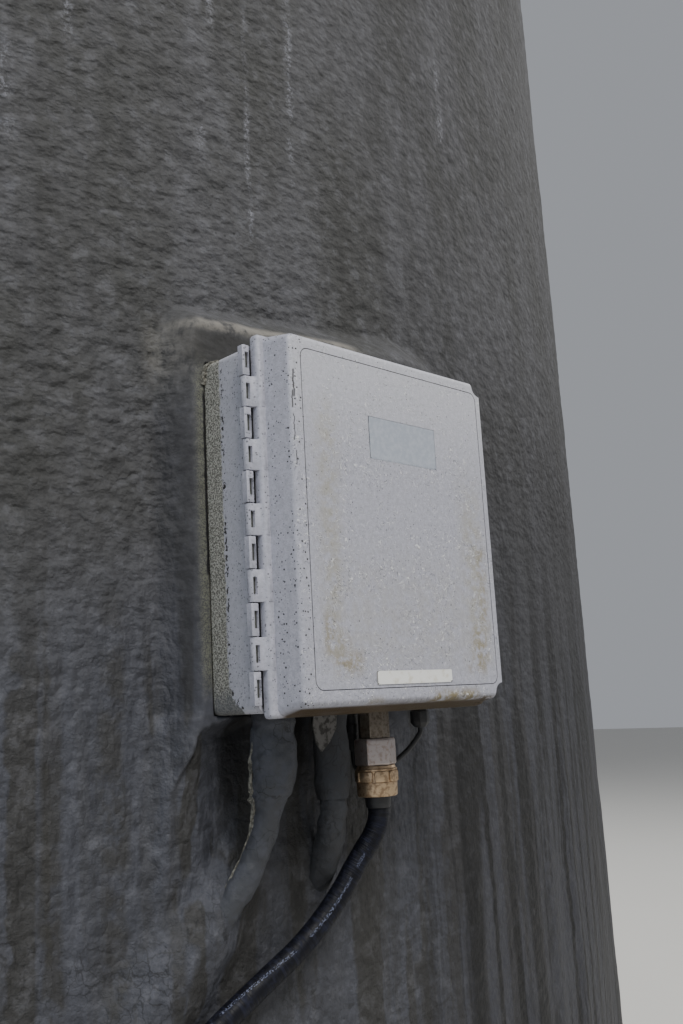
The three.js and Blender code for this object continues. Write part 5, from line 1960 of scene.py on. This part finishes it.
@dataclass
class BoxDoor:
    """The drafted door pan with its flange, pockets, moulded line, plate and tape, in millimetres."""

    rim_low: Point = (-20.5, 0, -22.8)
    rim_high: Point = (287.5, 42.5, 350)
    face_share: Pair = (294 / 308, 357.8 / 372.8)
    face_shift: float = 1.8
    corner: float = 8
    front_round: float = 5.5
    flange_low: Point = (-27, 32.5, -22.8)
    flange_high: Point = (-8, 42.5, 350)
    flange_round: float = 4.5
    inside_low: Point = (-13, 4, -9)
    inside_high: Point = (275, 60, 337)
    pocket_x: float = 277
    pocket_heights: Pair = (341, -10.5)
    pocket_r: float = 12
    pocket_floor: float = 34
    line_high: Pair = (270, 332)
    line_round: float = 10
    line_width: float = 0.9
    line_depth: float = 0.45
    recess_low: Point = (89.7, -5, 231.2)
    recess_high: Point = (192.3, 1.3, 276.3)
    hinge: Hinge = field(default_factory=Hinge)

    def build(self) -> None:
        """Builds the door and what rides on it."""
        door = self._pan()
        self.hinge.grow(door, self.hinge.door_knuckle(), 1)
        door.data.transform(TO_BOX)
        Bench.shade(door, 32)
        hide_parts("box_door")
        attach(door, DOOR)
        self._plates()
        self._screws()

    def _flange(self) -> Piece:
        """Makes the flange on the hinge side, rounded in front.

        Returns:
            The flange.
        """
        front, left, right = self.flange_low[1] + 0.1, self.flange_low[0] + 0.1, self.flange_high[0] - 0.1

        def rounded(middles: np.ndarray, ways: np.ndarray) -> np.ndarray:
            """Picks the edges in front, but for the inner one, and those that run back at the left.

            Args:
                middles: The edges' middles.
                ways: Their directions.

            Returns:
                Whether each is picked.
            """
            return ((middles[:, 1] < front) & (middles[:, 0] < right)) | (
                (np.abs(ways[:, 1]) > ALONG) & (middles[:, 0] < left)
            )

        flange = Maker.block("flange", self.flange_low, self.flange_high)
        return Bench.round_corners(flange, self.flange_round, 5, rounded)

    def _pocket(self, z: float) -> list[Piece]:
        """Makes what is cut away at a free corner.

        Args:
            z: The height of its screw.

        Returns:
            The round part, the parts open to the side and to the end, and the screw's hole.
        """
        out = 1 if z > 0 else -1
        far_z, near_z = z + out * 40, z - out * self.pocket_r
        side_low, side_high = sorted((near_z, far_z))
        end_low, end_high = sorted((z, far_z))
        x, r, floor = self.pocket_x, self.pocket_r, self.pocket_floor
        return [
            Maker.rod("pocket", r, floor + 10, (x, floor / 2 - 5, z), 48),
            Maker.block("side", (x, -10, side_low), (x + 40, floor, side_high)),
            Maker.block("end", (x - r, -10, end_low), (x + 2, floor, end_high)),
            Maker.rod("hole", 3.3, 40, (x, 42, z), 24),
        ]

    def _pan(self) -> Piece:
        """Makes the pan, hollowed, with its pockets, moulded line and plate recess.

        Returns:
            The pan.
        """
        pan = Maker.block("door_shell", self.rim_low, self.rim_high)
        Bench.select(pan, Element.FACE, lambda c, n: n[:, 1] < -ALONG)
        bpy.ops.transform.resize(value=(self.face_share[0], 1, self.face_share[1]))
        bpy.ops.transform.translate(value=(0, 0, self.face_shift))
        bpy.ops.object.mode_set(mode="OBJECT")
        Bench.round_corners(pan, self.corner, 6)
        Bench.round_corners(pan, self.front_round, 6, lambda c, w: (c[:, 1] < 0.05) & (np.abs(w[:, 1]) < 0.1))
        Bench.carve(pan, self._flange(), operation="UNION")
        inside = Maker.block("inside", self.inside_low, self.inside_high, 4, 3)
        bosses = [Maker.rod("boss", self.pocket_r + 4, 120, (self.pocket_x, 30, z), 40) for z in self.pocket_heights]
        Bench.carve(pan, Bench.carve(inside, *bosses))
        for z in self.pocket_heights:
            Bench.carve(pan, *self._pocket(z))
        Bench.bevel(pan, 1.6, 3, 50)
        FIBREGLASS.dress(pan)
        (right, top), wide = self.line_high, self.line_width
        ring = Maker.tablet("line", (0, -2, 0), (right, self.line_depth, top), self.line_round)
        core = Maker.tablet("core", (wide, -4, wide), (right - wide, 4, top - wide), self.line_round - wide)
        Bench.carve(ring, core)
        GROOVE.dress(ring)
        Bench.modify(pan, "BOOLEAN", object=ring, operation="DIFFERENCE", solver="EXACT", material_mode="TRANSFER")
        bpy.data.objects.remove(ring)
        return Bench.carve(pan, Maker.block("recess", self.recess_low, self.recess_high))

    def _plates(self) -> None:
        """Builds the bare name plate and the bare strip of tape, each with a thin line of painted shadow along its left
        and lower edges.
        """
        for name, node, low, high, corner, margin, line, finish, edge in (
            ("blank_plate", "name_plate", (90, 0.2, 231.5), (192, 1.0, 276), 1.2, 0.2, 0.9, PLATE_BLUE, PLATE_SHADOW),
            ("blank_tape", "tape_label", (80, -0.8, 4), (192, -0.3, 17), 1.6, 0.05, 1.0, TAPE_WHITE, TAPE_SHADOW),
        ):
            plate = Maker.tablet(name, low, high, corner)
            finish.dress(plate, edge)
            middle = (low[0] + high[0]) / 2
            for inset in (margin, line):
                Bench.select(
                    plate, Element.FACE,
                    lambda c, n, x=middle: (n[:, 1] < -ALONG) & (np.abs(c[:, 0] - x) < 5),
                )
                bpy.ops.mesh.inset(thickness=inset)
                bpy.ops.object.mode_set(mode="OBJECT")
            centre = max(plate.data.polygons, key=lambda f: f.area if f.normal.y < -ALONG else 0)
            rim = set(centre.vertices)
            # The inner ring's faces on the left and lower sides take the painted shadow.
            for face in plate.data.polygons:
                low_side = face.center.x < low[0] + 3 or face.center.z < low[2] + 3
                if low_side and face.normal.y < -ALONG and rim & set(face.vertices) and face.index != centre.index:
                    face.material_index = 1
            plate.data.transform(TO_BOX)
            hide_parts(node)
            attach(plate, DOOR)

    def _screws(self) -> None:
        """Builds the two cover screws in their pockets."""
        profile = [(0, 6), (5.6, 6), (6.5, 5), (6.5, 0), (2.9, 0), (2.9, -8), (0, -8)]
        for name, z in zip(("cover_screw_top", "cover_screw_bottom"), self.pocket_heights):
            head = Maker.turned(f"{name}_piece", profile, 6, 0.3, None, 2)
            Bench.carve(head, Maker.block("slot", (-8, -0.7, 4.2), (8, 0.7, 8)))
            place = Matrix.Translation((self.pocket_x, self.pocket_floor - 0.3, z)) @ turned_by(90, "X")
            head.data.transform(TO_BOX @ place)
            STEEL.dress(Bench.shade(head))
            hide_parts(name)
            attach(head, DOOR)


@dataclass
class CordGrip:
    """The metal cord grip under the box, in millimetres from its axis in the box's frame."""

    x: float = 168
    y: float = 95
    hex_turn: float = 23
    neck_turn: float = 31
    pads: int = 8
    pad_turn: float = 14

    def _nut(self) -> Piece:
        """Makes the nut with the ribbed pads round it.

        Returns:
            The nut.
        """
        nut = Maker.turned("grip_nut", [
            (0, -111), (20.6, -111), (21.6, -109.8), (22.0, -98), (22.0, -96.4), (21.2, -96), (21.2, -84.6),
            (22.6, -84.2), (22.6, -82.6), (21.2, -82), (20.2, -79.1), (0, -79.1),
        ], 64, 0.25)
        pad = Maker.block("pad", (20.4, -7.6, -95.8), (23.0, 7.6, -84.9))
        Bench.round_corners(pad, 2.2, 4, lambda c, w: np.abs(w[:, 0]) > ALONG)
        Bench.bevel(pad, 0.5, 3, 50)
        co = Bench.coordinates(pad)
        co[:, 0] = np.where(co[:, 0] > 21, np.sqrt(np.maximum(co[:, 0] ** 2 - co[:, 1] ** 2, 0)) + 0.35, co[:, 0] - 1)
        Bench.place(pad, co)
        return Bench.join("grip_nut", [nut, *Bench.around(pad, self.pads, self.pad_turn)])

    def build(self) -> None:
        """Builds the neck, the hexagon, the ribbed nut and the rubber grommet."""
        neck = Maker.turned("grip_neck", [
            (0, -50.6), (17.4, -50.6), (17.4, -20), (16.6, -18.6), (16.6, -17.8), (0, -17.8),
        ], 8)
        body = Maker.turned("grip_hex", [
            (0, -78.8), (21.4, -78.8), (22.7, -77.2), (22.7, -53.0), (21.2, -50.8), (0, -50.8),
        ], 6)
        nut = self._nut()
        grommet = Maker.turned("grip_grommet", [
            (0, -123.3), (12.3, -123.3), (13.2, -122.2), (14.2, -114), (14.6, -111.3), (0, -111.3),
        ], 40, 0.4)
        for piece, node, turn, finish in (
            (Bench.bevel(neck, 0.7, 2), "cord_grip_neck", self.neck_turn, NECK_STEEL),
            (Bench.bevel(body, 0.6, 3), "cord_grip_body", self.hex_turn, STEEL),
            (nut, "cord_grip_nut", 0, BRONZE), (grommet, "cord_grip_grommet", 0, RUBBER),
        ):
            piece.data.transform(TO_BOX @ Matrix.Translation((self.x, self.y, 0)) @ turned_by(turn))
            finish.dress(Bench.shade(piece, 30))
            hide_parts(node)
            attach(piece, TANK)


@dataclass
class SensorLine:
    """The small gland, the probe holder and the thin wire between them, in the box's frame, in millimetres."""

    gland: Pair = (249, 100)
    probe: Pair = (164, 125)
    wire_radius: float = 3
    route: tuple[Point, ...] = (
        (249, 100, -43.6), (248.6, 100.3, -48.5), (243, 103, -57), (231, 109, -70), (213, 117, -82),
        (193, 122.5, -87.5), (176, 125.5, -87), (167, 125.5, -81), (164, 125, -69.8), (164, 125, -64.1),
    )

    def build(self) -> None:
        """Builds the three pieces."""
        gland = Bench.bevel(Maker.turned("sensor_gland_piece", [
            (0, -43.3), (5.4, -43.3), (7.4, -42.2), (10.6, -38.4), (11, -37.2), (11, -25.6), (10.2, -24.4), (9, -23.8),
            (9, -21.8), (10.4, -21), (10.4, -17.8), (0, -17.8),
        ], 8), 0.5, 2)
        probe = Maker.turned("probe_holder_piece", [
            (0, -63.8), (3.4, -63.8), (4.8, -61), (6, -57.6), (6, -45), (6.8, -44), (6.8, -36), (6, -35), (6, -26),
            (7.2, -25), (7.2, -17.8), (0, -17.8),
        ], 24, 0.3)
        path = catmull_rom([in_box(*p) for p in self.route], 8)
        wire = Maker.tube("sensor_wire_piece", path, self.wire_radius * MM, 12)
        for piece, place in ((gland, self.gland), (probe, self.probe)):
            piece.data.transform(TO_BOX @ Matrix.Translation((*place, 0)))
            Bench.shade(piece, 30)
        for piece, node in ((gland, "sensor_gland"), (probe, "probe_holder"), (wire, "sensor_wire")):
            RUBBER.dress(piece)
            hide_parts(node)
            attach(piece, TANK)


@dataclass
class Conduits:
    """The two conduits under the box, each in its skin of foam and coating, in metres."""

    left: tuple[Point, ...] = (
        (-0.0987, -1.8984, 1.3022), (-0.0999, -1.8984, 1.2808), (-0.1015, -1.8984, 1.2519), (-0.1036, -1.895, 1.2281),
        (-0.104, -1.893, 1.2185), (-0.1054, -1.889, 1.1996), (-0.1086, -1.884, 1.1808), (-0.1129, -1.879, 1.1642),
        (-0.1215, -1.873, 1.1445), (-0.1327, -1.866, 1.1263), (-0.1445, -1.857, 1.1065), (-0.162, -1.846, 1.087),
        (-0.186, -1.833, 1.068),
    )
    left_radii: tuple[float, ...] = (
        0.0212, 0.0222, 0.0234, 0.0205, 0.017, 0.0134, 0.0134, 0.0138, 0.0138, 0.014, 0.0146, 0.016, 0.018,
    )
    seen_from: Point = (0.59, 0.8, -0.1)
    fitting: tuple[Point, ...] = ((-0.0215, -1.897, 1.3022), (-0.0215, -1.897, 1.26), (-0.0215, -1.897, 1.212))
    shard: tuple[Point, ...] = (
        (-0.0636, -1.918, 1.2862), (-0.0626, -1.918, 1.2803), (-0.0593, -1.918, 1.2692), (-0.053, -1.918, 1.2609),
        (-0.0413, -1.918, 1.27), (-0.031, -1.918, 1.2845), (-0.03, -1.918, 1.297), (-0.062, -1.918, 1.297),
    )
    middle: tuple[Point, ...] = (
        (-0.0215, -1.897, 1.22), (-0.0215, -1.897, 1.208), (-0.0212, -1.8945, 1.192), (-0.019, -1.885, 1.169),
        (-0.014, -1.87, 1.145), (-0.009, -1.851, 1.122), (-0.004, -1.838, 1.11),
    )
    middle_radius: float = 0.0135

    @staticmethod
    def _lumpy(
        name: str, points: Sequence[Point], base: Callable[[np.ndarray], np.ndarray], seed: int, swell: float
    ) -> Piece:
        """Makes a tube whose skin swells and pinches.

        Args:
            name: The piece's name.
            points: The points that its centreline passes through.
            base: Gives its plain radius for shares of the centreline.
            seed: Picks the lumps.
            swell: The lumps' share of the radius.

        Returns:
            The piece, level with its first point at the top.
        """
        path = catmull_rom(points, 14)

        def radius(share: np.ndarray, angle: np.ndarray) -> np.ndarray:
            """Gives the radius at shares of the path and angles round it."""
            where = np.stack([np.cos(angle) * 1.3, np.sin(angle) * 1.3, share * len(path) * 0.16], -1)
            return base(share) * (1 + noise(where, seed) * swell + noise(where * 2.3, seed + 1) * swell * 0.5)

        piece = Maker.tube(name, path, radius, 48)
        co = Bench.coordinates(piece)
        co[:, 2] = np.minimum(co[:, 2], path[0][2])
        Bench.place(piece, co)
        return Bench.done(piece)

    def _crust(self) -> Piece:
        """Makes a ragged crust of bare foam down the left conduit's outer side.

        Returns:
            The crust.
        """
        path = np.array(self.left[1:12])
        radii = np.array(self.left_radii[1:12])[:, None]
        outward = np.cross(self.seen_from, np.gradient(path, axis=0))
        outward /= np.linalg.norm(outward, axis=1)[:, None]
        edge = path + (outward - 0.3 * np.array(self.seen_from)) * radii * 0.9

        def thickness(share: np.ndarray) -> np.ndarray:
            """Gives the crust's radius at shares of its length."""
            return (0.0038 - 0.0022 * smooth((share - 0.3) / 0.2)) * smooth(share / 0.12 + 0.1)

        return OLD_FOAM.dress(self._lumpy("crust", edge, thickness, 51, 0.8))

    def build(self) -> None:
        """Builds both conduits, with a flake of coating that hangs between them."""
        stops = np.linspace(0, 1, len(self.left_radii))
        left = self._lumpy("conduit_left", self.left, lambda s: np.interp(s, stops, self.left_radii), 21, 0.07)
        fitting = self._lumpy("fitting", self.fitting, lambda s: 0.0188 - 0.003 * smooth((s - 0.8) / 0.2), 31, 0.08)
        middle = self._lumpy("conduit_middle", self.middle, lambda s: self.middle_radius * (1 + 0.15 * s), 41, 0.1)
        shard = Maker.slab("shard", self.shard, (0.002, 0.004, 0))
        for piece, finish in ((left, CONDUIT), (fitting, DARK_CONDUIT), (middle, DARK_CONDUIT), (shard, FLAKE)):
            finish.dress(piece)
        left = Bench.join("conduit_left", [left, self._crust()])
        middle = Bench.join("conduit_middle", [middle, fitting, shard])
        for piece, node in ((left, "coated_conduit_left"), (middle, "coated_conduit_middle")):
            Bench.shade(piece, 60)
            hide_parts(node)
            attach(piece, TANK)


@dataclass
class TopFittings:
    """Manway, vent and filler on the dome, in millimetres."""

    neck_top: float = 4253.6
    seat: float = 4096.8
    ring: float = 860
    vent_azimuth: float = 100
    filler_azimuth: float = 260

    def _foot(self, azimuth: float) -> Matrix:
        """The foot of a fitting on the dome."""
        a = math.radians(azimuth)
        return TO_METRES @ Matrix.Translation((self.ring * math.sin(a), -self.ring * math.cos(a), self.seat))

    def build(self) -> None:
        """Builds the fittings."""
        vent, filler = self._foot(self.vent_azimuth), self._foot(self.filler_azimuth)
        for piece, node, finish, place in (
            (self._neck(), "manway_neck", POLY, TO_METRES),
            (self._lid(), "manway_lid", PLASTIC, TO_METRES),
            (Maker.turned("vent_boss_piece", [
                (0, -52), (88, -52), (88, 2), (85.5, 10), (85, 36), (83, 41), (80, 42), (0, 42),
            ]), "vent_boss", POLY, vent),
            (Maker.turned("vent_pipe_piece", [
                (0, 42.3), (57, 42.3), (60, 44), (60, 76), (58.5, 79), (55, 80), (55, 124), (57, 126), (57, 131),
                (0, 132.3),
            ]), "vent_pipe", PLASTIC, vent),
            (Maker.turned("vent_hood", [
                (0, 132.6), (60, 132.6), (64, 130), (80, 111.6), (88.6, 110.6), (90, 112), (90, 137), (88, 141),
                (62, 161.6), (30, 167.4), (0, 168.6),
            ], 64), "vent_cap", PLASTIC, vent),
            (Maker.turned("filler_boss_piece", [
                (0, -50), (83, -50), (83, 2), (80.5, 9), (80, 32), (78, 37), (75, 38), (0, 38),
            ]), "filler_boss", POLY, filler),
            (self._cap(), "filler_cap", PLASTIC, filler),
        ):
            piece.data.transform(place)
            finish.dress(Bench.shade(piece, 35))
            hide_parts(node)
            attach(piece, TANK)

    def _neck(self) -> Piece:
        """Makes the manway's neck with its beads and rim.

        Returns:
            The neck.
        """
        top = self.neck_top
        return Bench.done(Maker.turned("manway_neck_piece", [
            (305, top - 133), (317, top - 133), (317, top - 60), (321, top - 56), (321, top - 50), (317, top - 46),
            (317, top - 30), (321, top - 26), (321, top - 20), (317, top - 16.5), (338, top - 16), (339, top - 14),
            (339, top - 2), (337, top), (307, top), (305, top - 2), (305, top - 133),
        ], 96), 1e-4)

    def _lid(self) -> Piece:
        """Makes the manway lid with its raised ring, radial ribs and grip lugs.

        Returns:
            The lid.
        """
        top = self.neck_top
        lid = Maker.turned("manway_lid_piece", [
            (0, top + 0.4), (345.5, top + 0.4), (346, top), (346, top - 29), (347, top - 30), (353, top - 30),
            (354, top - 28), (354, top + 10), (352, top + 15), (334, top + 24), (214, top + 37.5), (208, top + 43.5),
            (196, top + 44), (190, top + 39.5), (100, top + 43), (0, top + 45),
        ], 96)
        rib = Maker.block("lid_rib", (222, -5, top + 22), (340, 5, top + 36), 2, 2)
        co = Bench.coordinates(rib)
        co[:, 2] -= np.where(co[:, 2] > top + 30, (co[:, 0] - 222) * 0.075, 0)
        Bench.place(rib, co)
        lug = Maker.block("lid_lug", (350, -7, top - 26), (356, 7, top + 8), 2, 2)
        return Bench.join("manway_lid_piece", [lid, *Bench.around(rib, 16), *Bench.around(lug, 24, 7.5)])

    @staticmethod
    def _cap() -> Piece:
        """Makes the filler cap with its bar and grip ribs.

        Returns:
            The cap.
        """
        cap = Maker.turned("filler_cap_piece", [
            (0, 38.3), (64, 38.3), (64, 68), (61, 73.5), (56, 76), (20, 76), (17, 73.6), (0, 73.6),
        ], 64)
        rib = Maker.block("grip_rib", (62.5, -2, 40), (66, 2, 67), 0.9, 2)
        bar = Maker.block("cap_bar", (-52, -6, 74), (52, 6, 80), 2.5, 3)
        return Bench.join("filler_cap_piece", [cap, bar, *Bench.around(rib, 24)])


@dataclass
class Outlet:
    """The outlet at the back: collar, pipe, flange, blind cover and bolts, in millimetres."""

    radius: float = 1854
    height: float = 240
    bolts: int = 8
    bolt_ring: float = 76

    def build(self) -> None:
        """Builds the outlet."""
        r = self.radius
        collar = Maker.turned("outlet_collar_piece", [
            (0, r - 26), (92, r - 26), (92, r + 4), (89, r + 10), (88, r + 34), (84, r + 38), (0, r + 38),
        ], 64)
        pipe = Maker.turned("outlet_pipe_piece", [
            (0, r + 38.3), (52, r + 38.3), (52, r + 56), (50, r + 60), (45, r + 61), (45, r + 98), (50, r + 104),
            (52, r + 108.3), (93, r + 108.3), (95, r + 110), (95, r + 128.5), (93, r + 130.3), (0, r + 130.3),
        ], 64)
        cover = Maker.turned("outlet_cover_piece", [
            (0, r + 130.6), (93, r + 130.6), (95, r + 132.4), (95, r + 146.6), (93, r + 148.6), (0, r + 148.6),
        ], 64)
        bolt = Maker.turned("bolt", [
            (0, r + 100.5), (7.6, r + 100.5), (8.6, r + 101.6), (8.6, r + 107.4), (11, r + 107.6), (11, r + 109),
            (0, r + 109),
        ], 6, 0.3, Matrix.Translation((self.bolt_ring, 0, 0)), 2)
        STEEL.dress(bolt)
        PLASTIC.dress(pipe)
        pipe = Bench.join("outlet_pipe_piece", [pipe, *Bench.around(bolt, self.bolts, 180 / self.bolts)])
        POLY.dress(collar)
        PLASTIC.dress(cover)
        place = TO_METRES @ Matrix.Translation((0, 0, self.height)) @ turned_by(-90, "X")
        for piece, node, slot in (
            (collar, "outlet_collar", "polyethylene"), (pipe, "outlet_pipe", "dark_plastic"),
            (cover, "outlet_cover", "dark_plastic"),
        ):
            piece.data.transform(place)
            Bench.shade(piece)
            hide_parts(node)
            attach(piece, TANK)


@dataclass
class Liner:
    """The polyethylene tank inside the foam, whose CAD bodies stay."""

    nodes: tuple[str, ...] = ("liner_wall", "liner_dome", "tank_floor")

    def build(self) -> None:
        """Dresses the bodies."""
        for name in self.nodes:
            POLY.dress(frame["nodes"][name])


def main() -> None:
    """Builds the scene and reports each piece."""
    logging.basicConfig(level=logging.INFO, format="%(message)s")
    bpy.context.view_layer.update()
    Shot().build()
    SupplyCable().build()
    Studio().build()
    for kind in (FoamJacket, BoxBase, BoxDoor, CordGrip, SensorLine, Conduits, TopFittings, Outlet, Liner):
        LOG.info("building %s", kind.__name__)
        kind().build()


if __name__ == "__main__":
    main()
